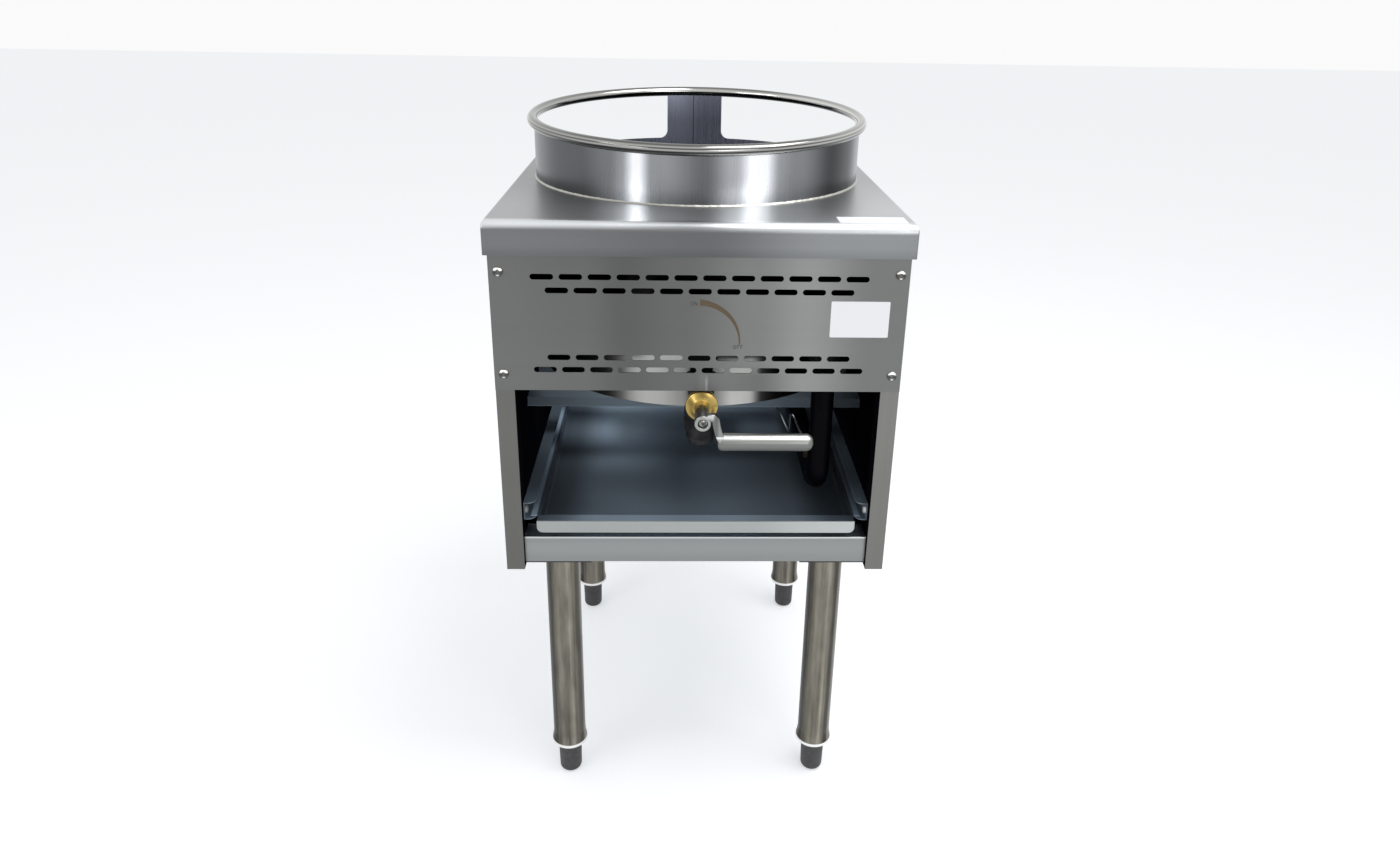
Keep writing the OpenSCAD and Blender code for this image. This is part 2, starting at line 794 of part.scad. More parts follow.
// Round cast gas chamber with its inlet socket at the front and four bolt lugs
module burner_body() {
    inner_h = burner_h - 2 * burner_wall;
    socket_y = burner_r + burner_socket_out;
    color("dimgray")
    difference() {
        union() {
            translate([0, ring_y, bar_z]) cylinder(r = burner_r, h = burner_h, $fn = 96);
            translate([valve_x, ring_y - socket_y, outlet_z]) rotate([-90, 0, 0])
                cylinder(r = elbow_band_r, h = burner_r / 2);
            at_bolts() cylinder(r = lug_r, h = lug_h);
        }
        translate([0, ring_y, bar_z + burner_wall])
            cylinder(r = burner_r - burner_wall, h = inner_h, $fn = 96);
        translate([valve_x, ring_y - socket_y - over, outlet_z]) rotate([-90, 0, 0])
            cylinder(r = socket_r, h = socket_l + over);
        translate([valve_x, ring_y - socket_y, outlet_z]) rotate([-90, 0, 0])
            cylinder(r = pipe_in_r, h = burner_r / 2 + burner_socket_out);
        at_jets() translate([0, 0, -burner_wall - over])
            cylinder(r = jet_thread_r, h = burner_wall + 2 * over);
        at_bolts() translate([0, 0, -over]) cylinder(r = bolt_r + hole_clear, h = lug_h + 2 * over);
    }
}

// One jet: threaded shank, hexagon and tapered nozzle with a fine bore
module jet() {
    hex_h = jet_h / 5;
    difference() {
        union() {
            translate([0, 0, -burner_wall]) cylinder(r = jet_thread_r, h = burner_wall + hex_h);
            cylinder(r = jet_hex_r, h = hex_h, $fn = 6);
            translate([0, 0, hex_h])
                cylinder(r1 = jet_thread_r * 1.2, r2 = jet_thread_r * 0.7, h = jet_h - hex_h);
        }
        translate([0, 0, -burner_wall - over]) cylinder(r = jet_bore_r, h = burner_wall + jet_h + 2 * over);
    }
}

module burner_jets() {
    color("goldenrod")
    at_jets() jet();
}

// Calls its child at each bolt's place, on the crossbars' upper face
module at_bolts() {
    for (s = [-1, 1], t = [-1, 1])
        translate([s * bolt_x, ring_y + t * (bar_out - bolt_in), bar_z]) children();
}

// Hexagon bolts that hold the burner's lugs down on the crossbars
module burner_bolts() {
    shank = lug_h + sheet_t + nut_h + bolt_r / 2;
    color("silver")
    at_bolts() {
        translate([0, 0, lug_h]) cylinder(r = 2 * bolt_r, h = 1.3 * bolt_r, $fn = 6);
        translate([0, 0, lug_h - shank]) cylinder(r = bolt_r, h = shank + bolt_r / 2);
    }
}

// Nuts under the crossbars
module burner_nuts() {
    color("silver")
    at_bolts() translate([0, 0, -sheet_t - nut_h]) difference() {
        cylinder(r = 2 * bolt_r, h = nut_h, $fn = 6);
        translate([0, 0, -over]) cylinder(r = bolt_r + stem_clear, h = nut_h + 2 * over);
    }
}

// Malleable elbow with its corner at the origin and its ends along +X and +Z
module pipe_elbow(band_r) {
    difference() {
        union() {
            sphere(r = elbow_r);
            for (turn = [[0, 0, 0], [0, 90, 0]])
                rotate(turn) {
                    cylinder(r = elbow_r, h = elbow_l);
                    translate([0, 0, elbow_l - band_l]) cylinder(r = band_r, h = band_l);
                }
        }
        sphere(r = pipe_in_r);
        for (turn = [[0, 0, 0], [0, 90, 0]])
            rotate(turn) {
                cylinder(r = pipe_in_r, h = elbow_l + over);
                translate([0, 0, elbow_in]) cylinder(r = socket_r, h = socket_l + over);
            }
    }
}

module valve_elbow() {
    color("black")
    translate([valve_x, line_y, outlet_z]) rotate([0, 0, 90]) pipe_elbow(outlet_band_r);
}

module burner_pipe() {
    start_y = line_y + elbow_in;
    end_y = ring_y - burner_r - burner_socket_out + socket_l;
    color("black")
    translate([valve_x, start_y, outlet_z]) rotate([-90, 0, 0])
        tube(pipe_r, pipe_wall, end_y - start_y);
}

// Brass plug valve: upright barrel, cross housing for the stem, male lower end
module valve_body() {
    low_z = outlet_z + elbow_l;
    top_z = valve_z + body_up;
    color("goldenrod")
    difference() {
        union() {
            translate([valve_x, line_y, low_z]) cylinder(r = valve_barrel_r, h = top_z - low_z);
            translate([valve_x, line_y, low_z - socket_l]) cylinder(r = pipe_r, h = socket_l + over);
            translate([valve_x, line_y, top_z - valve_hex_h])
                cylinder(r = valve_hex_r, h = valve_hex_h, $fn = 6);
            translate([valve_x, line_y + housing_back, valve_z]) rotate([90, 0, 0])
                cylinder(r = housing_r, h = housing_back + line_back - bonnet_y - bonnet_l);
        }
        translate([valve_x, line_y, low_z - socket_l - over])
            cylinder(r = valve_port_r, h = top_z - low_z + socket_l + 2 * over);
        translate([valve_x, line_y, top_z - socket_l]) cylinder(r = socket_r, h = socket_l + over);
        translate([valve_x, line_y + housing_back - housing_end_t, valve_z]) rotate([90, 0, 0])
            cylinder(r = stem_r + stem_clear, h = housing_back + line_back);
    }
}

// Brass nut that holds the stem in, its face a low cone
module valve_bonnet() {
    color("gold")
    translate([valve_x, front_y + bonnet_y + bonnet_l, valve_z]) rotate([90, 0, 0]) difference() {
        union() {
            cylinder(r = bonnet_r, h = bonnet_l);
            translate([0, 0, bonnet_l]) cylinder(r1 = bonnet_r * 0.96, r2 = bonnet_r * 0.56, h = bonnet_hub);
        }
        translate([0, 0, -over]) cylinder(r = stem_r + stem_clear, h = bonnet_l + bonnet_hub + 2 * over);
    }
}

// Stem with its ported plug inside the valve
module valve_stem() {
    tip_y = line_y + housing_back - housing_end_t - slide_clear;
    neck_y = front_y - boss_front + boss_l;
    end_y = neck_y - spigot_l;
    color("slategray")
    difference() {
        translate([valve_x, tip_y, valve_z]) rotate([90, 0, 0]) {
            cylinder(r = stem_r, h = tip_y - neck_y);
            cylinder(r = spigot_r, h = tip_y - end_y);
        }
        translate([valve_x, line_y, valve_z]) rotate([0, 90, 0])
            cylinder(r = stem_port_r, h = 3 * stem_r, center = true);
        translate([valve_x, end_y - over, valve_z]) rotate([-90, 0, 0])
            cylinder(r = lever_bolt_r, h = 2 * lever_screw_l + over);
    }
}

// Cast lever: long boss, bent arm and round grip, one piece
module gas_lever() {
    face_y = front_y - boss_front;
    grip_y = face_y + grip_d / 2;
    grip_x = valve_x + grip_start;
    grip_end = valve_x + grip_reach;
    grip_z = valve_z - grip_drop;
    round_r = grip_d / 2;
    color("gainsboro")
    difference() {
        union() {
            translate([valve_x, face_y, valve_z]) rotate([-90, 0, 0])
                cylinder(r1 = boss_r, r2 = boss_r * 0.92, h = boss_l);
            translate([grip_x, grip_y, grip_z]) rotate([0, 90, 0]) {
                cylinder(r = round_r, h = grip_end - grip_x - round_r);
                translate([0, 0, grip_end - grip_x - round_r]) sphere(r = round_r);
            }
            translate([valve_x, face_y + arm_in + arm_t, valve_z]) rotate([90, 0, 0])
                linear_extrude(arm_t) polygon([
                    [0, boss_r * 0.7], [grip_start * 0.55, boss_r * 0.88],
                    [grip_start + arm_w * 0.3, boss_r * 0.88],
                    [grip_start + arm_w * 1.1, -grip_drop * 0.6], [grip_start + arm_w * 1.1, -grip_drop],
                    [grip_start, -grip_drop], [grip_start - arm_w * 0.1, -grip_drop * 0.55],
                    [grip_start - arm_w * 0.6, boss_r * 0.1], [boss_r * 0.5, -boss_r * 0.3]]);
        }
        translate([valve_x, face_y - over, valve_z]) rotate([-90, 0, 0]) {
            cylinder(r = lever_bolt_r + hole_clear, h = boss_l + 2 * over);
            cylinder(r = lever_recess_r, h = boss_recess + over);
        }
        translate([valve_x, face_y + boss_l - spigot_l, valve_z]) rotate([-90, 0, 0])
            cylinder(r = spigot_r + stem_clear, h = boss_l);
    }
}

module lever_screw() {
    color("whitesmoke")
    translate([valve_x, front_y - boss_front + boss_recess, valve_z]) rotate([90, 0, 0])
        pan_screw(lever_head_d, boss_recess * 0.8, 2 * lever_bolt_r - hole_clear, lever_screw_l);
}

module drop_nipple() {
    low_z = valve_z + body_up - socket_l;
    high_z = cross_z - elbow_in;
    color("black")
    translate([valve_x, line_y, low_z]) tube(pipe_r, pipe_wall, high_z - low_z);
}

module valve_top_elbow() {
    color("black")
    translate([valve_x, line_y, cross_z]) rotate([0, 90, 0]) pipe_elbow(elbow_band_r);
}

module cross_pipe() {
    start_x = valve_x + elbow_in;
    end_x = riser_x - elbow_in;
    color("black")
    translate([start_x, line_y, cross_z]) rotate([0, 90, 0])
        tube(pipe_r, pipe_wall, end_x - start_x);
}

module riser_elbow() {
    color("black")
    translate([riser_x, line_y, cross_z]) rotate([0, 180, 0]) pipe_elbow(elbow_band_r);
}

// Bent pipe: up behind the panel, down to its bend, then straight to the back
module supply_riser() {
    bend_z = run_z + riser_bend;
    run_y = line_y + riser_bend;
    end_y = back_y - coupling_in;
    color("black")
    {
        translate([riser_x, line_y, bend_z]) tube(pipe_r, pipe_wall, cross_z - elbow_in - bend_z);
        translate([riser_x, run_y, run_z]) rotate([-90, 0, 0]) tube(pipe_r, pipe_wall, end_y - run_y);
        translate([riser_x, run_y, bend_z]) rotate([0, 90, 0]) rotate([0, 0, -90])
            rotate_extrude(angle = 90) translate([riser_bend, 0]) difference() {
                circle(pipe_r);
                circle(pipe_in_r);
            }
    }
}

module inlet_coupling() {
    color("black")
    translate([riser_x, back_y - coupling_in - coupling_l / 2, run_z]) rotate([-90, 0, 0])
        tube(elbow_band_r, elbow_band_r - socket_r, coupling_l);
}

// Gas inlet, with its free end turned down for the thread
module inlet_nipple() {
    start_y = back_y - coupling_in;
    plain_l = coupling_in + inlet_out - thread_l;
    color("black")
    translate([riser_x, start_y, run_z]) rotate([-90, 0, 0]) {
        tube(pipe_r, pipe_wall, plain_l);
        translate([0, 0, plain_l]) tube(pipe_r - thread_cut, pipe_wall - thread_cut, thread_l);
    }
}

// Place of the pilot burner's lower end, beside the main burner
pilot_out = 26;
pilot_front = 24;
pilot_lift = 33;
pilot_end = [burner_r + pilot_out, ring_y - pilot_front, bar_z + pilot_lift];

// Route of the pilot tube. Its first points are measured from the riser's middle, the
// control panel's face and the gas run, its last ones from the pilot burner.
pilot_points = [
    [-5, 100, 18], [-5, 100, 20], [-5, 100, 22], [-8, 110, 29], [-14, 124, 37],
    [-20, 137, 49], [-23, 144, 45], [-23, 150, 22], [-25, 166, 20], [-30, 195, 26], [-33, 225, 25]
];
pilot_end_points = [[1, -11, -51], [0, -1, -38], [0, 0, -18], [0, 0, 0]];
pilot_sides = 10;
pilot_steps = 3;

function unit(v) = v / norm(v);

function curve_point(a, b, c, d, t) =
    0.5 * (2 * b + (c - a) * t + (2 * a - 5 * b + 4 * c - d) * t * t + (3 * b - a - 3 * c + d) * t * t * t);

function smooth_route(p, steps) = let(last = len(p) - 1) concat(
    [for (i = [0 : last - 1], k = [0 : steps - 1])
        curve_point(p[max(i - 1, 0)], p[i], p[i + 1], p[min(i + 2, last)], k / steps)],
    [p[last]]);

function route_dirs(p) = [for (i = [0 : len(p) - 1])
    unit(p[min(i + 1, len(p) - 1)] - p[max(i - 1, 0)])];

function carried(dirs, i, n) = i == len(dirs) ? [] :
    let(u = unit(n - dirs[i] * (n * dirs[i]))) concat([u], carried(dirs, i + 1, u));

// Tube of radius r swept along the route as one closed surface
module swept_tube(p, r, sides) {
    dirs = route_dirs(p);
    normals = carried(dirs, 0, [1, 0, 0]);
    rings = [for (i = [0 : len(p) - 1], j = [0 : sides - 1])
        p[i] + r * (cos(360 * j / sides) * normals[i] + sin(360 * j / sides) * cross(dirs[i], normals[i]))];
    last = (len(p) - 1) * sides;
    faces = concat(
        [for (i = [0 : len(p) - 2], j = [0 : sides - 1]) let(k = (j + 1) % sides)
            [i * sides + j, (i + 1) * sides + j, (i + 1) * sides + k, i * sides + k]],
        [[for (j = [0 : sides - 1]) j]],
        [[for (j = [sides - 1 : -1 : 0]) last + j]]);
    polyhedron(rings, faces);
}

pilot_route = concat(
    [for (q = pilot_points) [riser_x, front_y, run_z] + q],
    [for (q = pilot_end_points) pilot_end + q]);

module pilot_fitting() {
    start = pilot_route[0];
    color("gold")
    difference() {
        translate([start[0], start[1], run_z]) cylinder(r = fitting_r, h = start[2] - run_z, $fn = 6);
        translate([riser_x, start[1] - 2 * fitting_r, run_z]) rotate([-90, 0, 0])
            cylinder(r = pipe_r, h = 4 * fitting_r);
    }
}

module pilot_tube() {
    color("silver")
    swept_tube(smooth_route(pilot_route, pilot_steps), pilot_tube_d / 2, pilot_sides);
}

module pilot_burner() {
    color("goldenrod")
    translate(pilot_end) difference() {
        cylinder(r = pilot_tip_r, h = pilot_tip_h);
        translate([0, 0, pilot_tip_h / 2]) cylinder(r = pilot_tip_r / 2, h = pilot_tip_h);
    }
}

// Angle strip from the front crossbar to the pilot burner
module pilot_bracket() {
    bar_y = ring_y - bar_out + bar_w;
    strip_w = 2 * pilot_tip_r + 4 * sheet_t;
    top_z = pilot_end[2] + pilot_tip_h / 2;
    color("silver")
    difference() {
        union() {
            box([pilot_end[0] - strip_w / 2, bar_y, bar_z - bar_h],
                [pilot_end[0] + strip_w / 2, bar_y + sheet_t, top_z]);
            box([pilot_end[0] - strip_w / 2, bar_y, top_z - sheet_t],
                [pilot_end[0] + strip_w / 2, pilot_end[1] + strip_w / 2, top_z]);
        }
        translate([pilot_end[0], pilot_end[1], top_z - 2 * sheet_t])
            cylinder(r = pilot_tip_r + hole_clear / 5, h = 3 * sheet_t);
    }
}

top_plate();
wok_ring();
ring_weld();
rim_bead();
combustion_drum();
control_panel();
panel_screws();
blank_label();
side_panel("left");  // side_panel_left
side_panel("right");  // side_panel_right
back_panel();
back_screws();
front_apron();
rear_rail();
at_corner(-1, -1) leg_plate();  // leg_plate_front_left
at_corner(-1, 1) leg_plate();  // leg_plate_front_right
at_corner(1, -1) leg_plate();  // leg_plate_rear_left
at_corner(1, 1) leg_plate();  // leg_plate_rear_right
at_corner(-1, -1) leg_tube();  // leg_front_left
at_corner(-1, 1) leg_tube();  // leg_front_right
at_corner(1, -1) leg_tube();  // leg_rear_left
at_corner(1, 1) leg_tube();  // leg_rear_right
at_corner(-1, -1) leg_insert();  // leg_insert_front_left
at_corner(-1, 1) leg_insert();  // leg_insert_front_right
at_corner(1, -1) leg_insert();  // leg_insert_rear_left
at_corner(1, 1) leg_insert();  // leg_insert_rear_right
at_corner(-1, -1) foot();  // foot_front_left
at_corner(-1, 1) foot();  // foot_front_right
at_corner(1, -1) foot();  // foot_rear_left
at_corner(1, 1) foot();  // foot_rear_right
tray_slide("left");  // tray_slide_left
tray_slide("right");  // tray_slide_right
slide_screws();
drip_tray();
crossbar_front();
crossbar_rear();
burner_body();
burner_jets();
burner_bolts();
burner_nuts();
burner_pipe();
valve_elbow();
valve_body();
valve_bonnet();
valve_stem();
gas_lever();
lever_screw();
drop_nipple();
valve_top_elbow();
cross_pipe();
riser_elbow();
supply_riser();
inlet_coupling();
inlet_nipple();
pilot_fitting();
pilot_tube();
pilot_burner();
pilot_bracket();
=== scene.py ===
"""A single-burner wok range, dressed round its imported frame. Metres, +Z up, front towards -Y."""
import json
import math

import bmesh
import bpy
import numpy as np
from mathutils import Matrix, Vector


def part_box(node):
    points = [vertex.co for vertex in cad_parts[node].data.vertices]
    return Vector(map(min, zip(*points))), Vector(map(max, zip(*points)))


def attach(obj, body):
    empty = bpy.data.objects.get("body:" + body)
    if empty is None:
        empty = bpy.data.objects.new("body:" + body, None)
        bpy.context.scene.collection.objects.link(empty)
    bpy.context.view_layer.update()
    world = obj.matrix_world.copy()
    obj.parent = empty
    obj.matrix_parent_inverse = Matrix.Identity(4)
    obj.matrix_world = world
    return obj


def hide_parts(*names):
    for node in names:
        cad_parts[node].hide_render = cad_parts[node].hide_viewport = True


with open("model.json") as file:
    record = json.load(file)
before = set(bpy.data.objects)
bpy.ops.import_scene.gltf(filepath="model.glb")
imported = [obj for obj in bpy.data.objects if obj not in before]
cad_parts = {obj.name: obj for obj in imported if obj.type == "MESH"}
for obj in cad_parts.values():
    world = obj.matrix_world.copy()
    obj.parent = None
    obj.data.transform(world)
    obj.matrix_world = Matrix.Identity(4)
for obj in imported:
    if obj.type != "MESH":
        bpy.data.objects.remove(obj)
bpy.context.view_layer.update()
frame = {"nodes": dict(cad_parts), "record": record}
nodes = frame["nodes"]
scene = bpy.context.scene
scene.view_settings.view_transform = "Standard"

# The camera stands before the range, a little left of its middle and higher than
# its rim, and looks down on the plate and the ring as the photograph does.
camera_at = np.array([-0.02665, -1.24512, 1.00888])
camera_pitch = math.radians(21.09)
camera_yaw = math.radians(1.88)
camera_roll = math.radians(1.05)
focal_px = 972.0
image_px = (1400, 859)
axis_px = (704.68, 362.68)


def camera_axes(pitch, yaw, roll):
    """Right, up and backward directions of a camera that looks down by pitch and right by yaw."""
    forward = np.array([math.sin(yaw) * math.cos(pitch), math.cos(yaw) * math.cos(pitch), -math.sin(pitch)])
    level = np.array([math.cos(yaw), -math.sin(yaw), 0.0])
    upright = np.cross(level, forward)
    right = level * math.cos(roll) + upright * math.sin(roll)
    up = upright * math.cos(roll) - level * math.sin(roll)
    return np.stack([right, up, -forward], axis=1)


camera = bpy.data.objects.new("camera", bpy.data.cameras.new("camera"))
camera_matrix = np.eye(4)
camera_matrix[:3, :3] = camera_axes(camera_pitch, camera_yaw, camera_roll)
camera_matrix[:3, 3] = camera_at
camera.matrix_world = camera_matrix.T
camera.data.sensor_width = 36.0
camera.data.lens = focal_px * camera.data.sensor_width / image_px[0]
camera.data.shift_x = (image_px[0] / 2 - axis_px[0]) / image_px[0]
camera.data.shift_y = (axis_px[1] - image_px[1] / 2) / image_px[0]
camera.data.clip_start = 0.05
scene.collection.objects.link(camera)
scene.camera = camera


class Value:
    """A number, colour or vector inside a finish. A sum on it adds its own Math node."""

    def __init__(self, finish, socket):
        self.finish = finish
        self.socket = socket

    def math(self, operation, *inputs):
        return self.finish.node("ShaderNodeMath", {"operation": operation}, inputs)

    def __add__(self, other):
        return self.math("ADD", self, other)

    def __sub__(self, other):
        return self.math("SUBTRACT", self, other)

    def __mul__(self, other):
        return self.math("MULTIPLY", self, other)

    def __truediv__(self, other):
        return self.math("DIVIDE", self, other)

    def __radd__(self, other):
        return self.math("ADD", other, self)

    def __rsub__(self, other):
        return self.math("SUBTRACT", other, self)

    def __rmul__(self, other):
        return self.math("MULTIPLY", other, self)

    def size(self):
        return self.math("ABSOLUTE", self)

    def root(self):
        return self.math("SQRT", self)

    def rise(self, low, high):
        """0 below low, 1 above high and a smooth step between them; falls where low is the higher."""
        ends = {"Value": self, "From Min": low, "From Max": high}
        return self.finish.node("ShaderNodeMapRange", {"interpolation_type": "SMOOTHSTEP"}, ends)

    def hump(self, middle, width):
        """1 at middle, and down to 0 at width on either side of it."""
        return (self - middle).size().rise(width, 0.0)


class Finish:
    """A material: its principled shader, and one method that adds any other node."""

    def __init__(self, name, plain):
        self.material = bpy.data.materials.new(name)
        self.material.use_nodes = True
        self.tree = self.material.node_tree
        self.shader = self.tree.nodes["Principled BSDF"]
        for socket, value in plain.items():
            self.shader.inputs[socket].default_value = value

    def node(self, kind, settings, inputs, output=0):
        made = self.tree.nodes.new(kind)
        for key, value in settings.items():
            setattr(made, key, value)
        pairs = inputs.items() if isinstance(inputs, dict) else enumerate(inputs)
        for key, value in pairs:
            if isinstance(value, Value):
                self.tree.links.new(value.socket, made.inputs[key])
            else:
                made.inputs[key].default_value = value
        return Value(self, made.outputs[output])

    def feed(self, socket, value):
        self.tree.links.new(value.socket, self.shader.inputs[socket])

    def place(self):
        return self.node("ShaderNodeTexCoord", {}, {}, "Object")

    def parts(self, vector):
        return [self.node("ShaderNodeSeparateXYZ", {}, [vector], axis) for axis in "XYZ"]

    def noise(self, stretch, detail=2.0):
        """Noise from 0 to 1 with stretch features a metre along each axis."""
        laid = self.node("ShaderNodeMapping", {}, {"Vector": self.place(), "Scale": stretch})
        return self.node("ShaderNodeTexNoise", {}, {"Vector": laid, "Scale": 1.0, "Detail": detail})

    def mix(self, share, first, second):
        return self.node("ShaderNodeMix", {"data_type": "RGBA"}, {0: share, 6: first, 7: second}, 2)

    def scaled(self, colour, factor):
        colour = colour if isinstance(colour, Value) else colour[:3]
        return self.node("ShaderNodeVectorMath", {"operation": "SCALE"}, {0: colour, "Scale": factor})

    def lined(self, share, plain):
        """Shows a second principled shader, with plain settings only, where share is 1."""
        second = self.tree.nodes.new("ShaderNodeBsdfPrincipled")
        for socket, value in plain.items():
            second.inputs[socket].default_value = value
        shaders = [Value(self, shader.outputs[0]) for shader in (self.shader, second)]
        both = self.node("ShaderNodeMixShader", {}, [share, *shaders])
        self.tree.links.new(both.socket, self.tree.nodes["Material Output"].inputs["Surface"])

    def bump(self, height, distance, strength=1.0):
        inputs = {"Height": height, "Distance": distance, "Strength": strength}
        self.feed("Normal", self.node("ShaderNodeBump", {}, inputs))


def shade(red, green, blue):
    """Linear colour, with alpha, of a shade given as a screen shows it, each part from 0 to 255."""
    parts = np.array([red, green, blue]) / 255.0
    linear = np.where(parts > 0.04045, ((parts + 0.055) / 1.055) ** 2.4, parts / 12.92)
    return (*linear.tolist(), 1.0)


# The floor is a pale seamless one. It shows white and keeps the range's shadow.
# The world round it is an even pale studio, white to the eye and in the steel.
floor_reach = 14.0
floor_finish = Finish("studio floor", {"Base Color": shade(222, 223, 225), "Roughness": 0.9,
                                       "Specular IOR Level": 0.0, "Emission Strength": 1.0})
seen_kinds = ("Is Camera Ray", "Is Glossy Ray")
floor_rays = [floor_finish.node("ShaderNodeLightPath", {}, {}, kind) for kind in seen_kinds]
floor_seen = floor_finish.node("ShaderNodeMath", {"operation": "MAXIMUM"}, floor_rays)
floor_glow = floor_finish.mix(floor_seen, (0.0, 0.0, 0.0, 1.0), (0.42, 0.43, 0.44, 1.0))
floor_finish.feed("Emission Color", floor_glow)
floor_mesh = bpy.data.meshes.new("studio_floor")
floor_corners = np.array([[-1, -1, 0], [1, -1, 0], [1, 1, 0], [-1, 1, 0]]) * floor_reach
floor_mesh.from_pydata(floor_corners, [], [(0, 1, 2, 3)])
floor_mesh.materials.append(floor_finish.material)
floor = bpy.data.objects.new("studio_floor", floor_mesh)
scene.collection.objects.link(floor)

world = bpy.data.worlds.new("studio")
world.use_nodes = True
scene.world = world
seen_white = 0.96
seen_soft = 0.62
sky = world.node_tree.nodes["Background"]
sky.inputs["Color"].default_value = (1.0, 1.0, 1.0, 1.0)
rays = world.node_tree.nodes.new("ShaderNodeLightPath")
either = world.node_tree.nodes.new("ShaderNodeMath")
either.operation = "MAXIMUM"
for k, kind in enumerate(seen_kinds):
    world.node_tree.links.new(rays.outputs[kind], either.inputs[k])
strength = world.node_tree.nodes.new("ShaderNodeMapRange")
strength.inputs["To Min"].default_value = seen_soft
strength.inputs["To Max"].default_value = seen_white
world.node_tree.links.new(either.outputs[0], strength.inputs["Value"])
world.node_tree.links.new(strength.outputs[0], sky.inputs["Strength"])


def lamp(name, at, aim, width, depth, watts):
    """Soft box of width by depth, at a place, turned towards the point aim."""
    light = bpy.data.lights.new(name, "AREA")
    light.shape = "RECTANGLE"
    light.size = width
    light.size_y = depth
    light.energy = watts
    held = bpy.data.objects.new(name, light)
    back = np.array(at) - np.array(aim)
    back = back / np.linalg.norm(back)
    side = np.cross([0.0, 1.0, 0.001], back)
    side = side / np.linalg.norm(side)
    turn = np.eye(4)
    turn[:3, :3] = np.stack([side, np.cross(back, side), back], axis=1)
    turn[:3, 3] = at
    held.matrix_world = turn.T
    scene.collection.objects.link(held)


lamp("box_over", (0.75, -0.35, 2.3), (0.35, -0.1, 0.8), 1.3, 1.1, 22.0)
lamp("box_left", (-1.9, -1.6, 1.7), (0.0, 0.0, 0.6), 0.5, 1.6, 12.0)
lamp("box_front", (0.9, -2.2, 1.3), (0.0, 0.0, 0.5), 0.8, 1.4, 10.0)

homes = {node: body for body, names in frame["record"]["behaviour"]["bodies"].items() for node in names}
corners = ("front_left", "front_right", "rear_left", "rear_right")


def shown(name, mesh, finish, node, stands_in=True, sharp=32.0):
    """Object for a mesh, with its finish. It rides with a node and may replace it."""
    mesh.materials.clear()
    mesh.materials.append(finish.material)
    mesh.polygons.foreach_set("use_smooth", np.ones(len(mesh.polygons), dtype=bool))
    mesh.set_sharp_from_angle(angle=math.radians(sharp))
    piece = bpy.data.objects.new(name, mesh)
    scene.collection.objects.link(piece)
    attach(piece, homes[node])
    if stands_in:
        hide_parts(node)
    return piece


def closed_grid(name, points, round_u=False, round_v=False):
    """Mesh through a grid of points: each point is joined to the next in its row and its column.
    round_u and round_v join the last row or column to the first, and points that coincide are merged."""
    rows, columns = points.shape[:2]
    index = np.arange(rows * columns).reshape(rows, columns)
    if round_u:
        index = np.vstack([index, index[:1]])
    if round_v:
        index = np.hstack([index, index[:, :1]])
    quads = np.stack([index[:-1, :-1], index[1:, :-1], index[1:, 1:], index[:-1, 1:]], axis=-1)
    mesh = bpy.data.meshes.new(name)
    mesh.from_pydata(points.reshape(-1, 3), [], quads.reshape(-1, 4))
    shape = bmesh.new()
    shape.from_mesh(mesh)
    bmesh.ops.remove_doubles(shape, verts=shape.verts, dist=1e-7)
    bmesh.ops.dissolve_degenerate(shape, edges=shape.edges, dist=1e-8)
    bmesh.ops.recalc_face_normals(shape, faces=shape.faces)
    shape.to_mesh(mesh)
    shape.free()
    return mesh


def filleted(outline, steps=6):
    """Closed outline with round corners. A corner is (x, y, radius), and its arc touches both sides
    at radius / tan(half its angle) from the corner."""
    outline = np.asarray(outline, dtype=float)
    stretches = []
    for corner, before, after in zip(outline, np.roll(outline, 1, axis=0), np.roll(outline, -1, axis=0)):
        point, radius = corner[:2], corner[2]
        if radius == 0.0:
            stretches.append(point[None])
            continue
        back = (before[:2] - point) / np.linalg.norm(before[:2] - point)
        on = (after[:2] - point) / np.linalg.norm(after[:2] - point)
        half = math.acos(np.clip(back @ on, -1.0, 1.0)) / 2
        inward = (back + on) / np.linalg.norm(back + on)
        centre = point + inward * radius / math.sin(half)
        start = point + back * radius / math.tan(half) - centre
        end = point + on * radius / math.tan(half) - centre
        sweep = math.pi - 2 * half
        t = np.linspace(0.0, 1.0, steps + 1)[:, None]
        arc = (start * np.sin((1 - t) * sweep) + end * np.sin(t * sweep)) / math.sin(sweep)
        stretches.append(centre + arc)
    return np.vstack(stretches)


def turned(name, profile, foot, axis=(0.0, 0.0, 1.0), sides=72, ring=True):
    """Turned mesh: each profile point (radius, height) goes once round the axis through foot.
    ring joins the profile's last point to its first; without it the ends lie on the axis."""
    axis = np.array(axis)
    first = np.cross(axis, [0.28, 0.53, 0.80])
    first = first / np.linalg.norm(first)
    second = np.cross(axis, first)
    t = np.linspace(0.0, 2 * np.pi, sides, endpoint=False)
    round_way = np.cos(t)[:, None] * first + np.sin(t)[:, None] * second
    radius, height = np.asarray(profile).T
    points = np.array(foot) + radius[:, None, None] * round_way + height[:, None, None] * axis
    return closed_grid(name, points, round_u=ring, round_v=True)


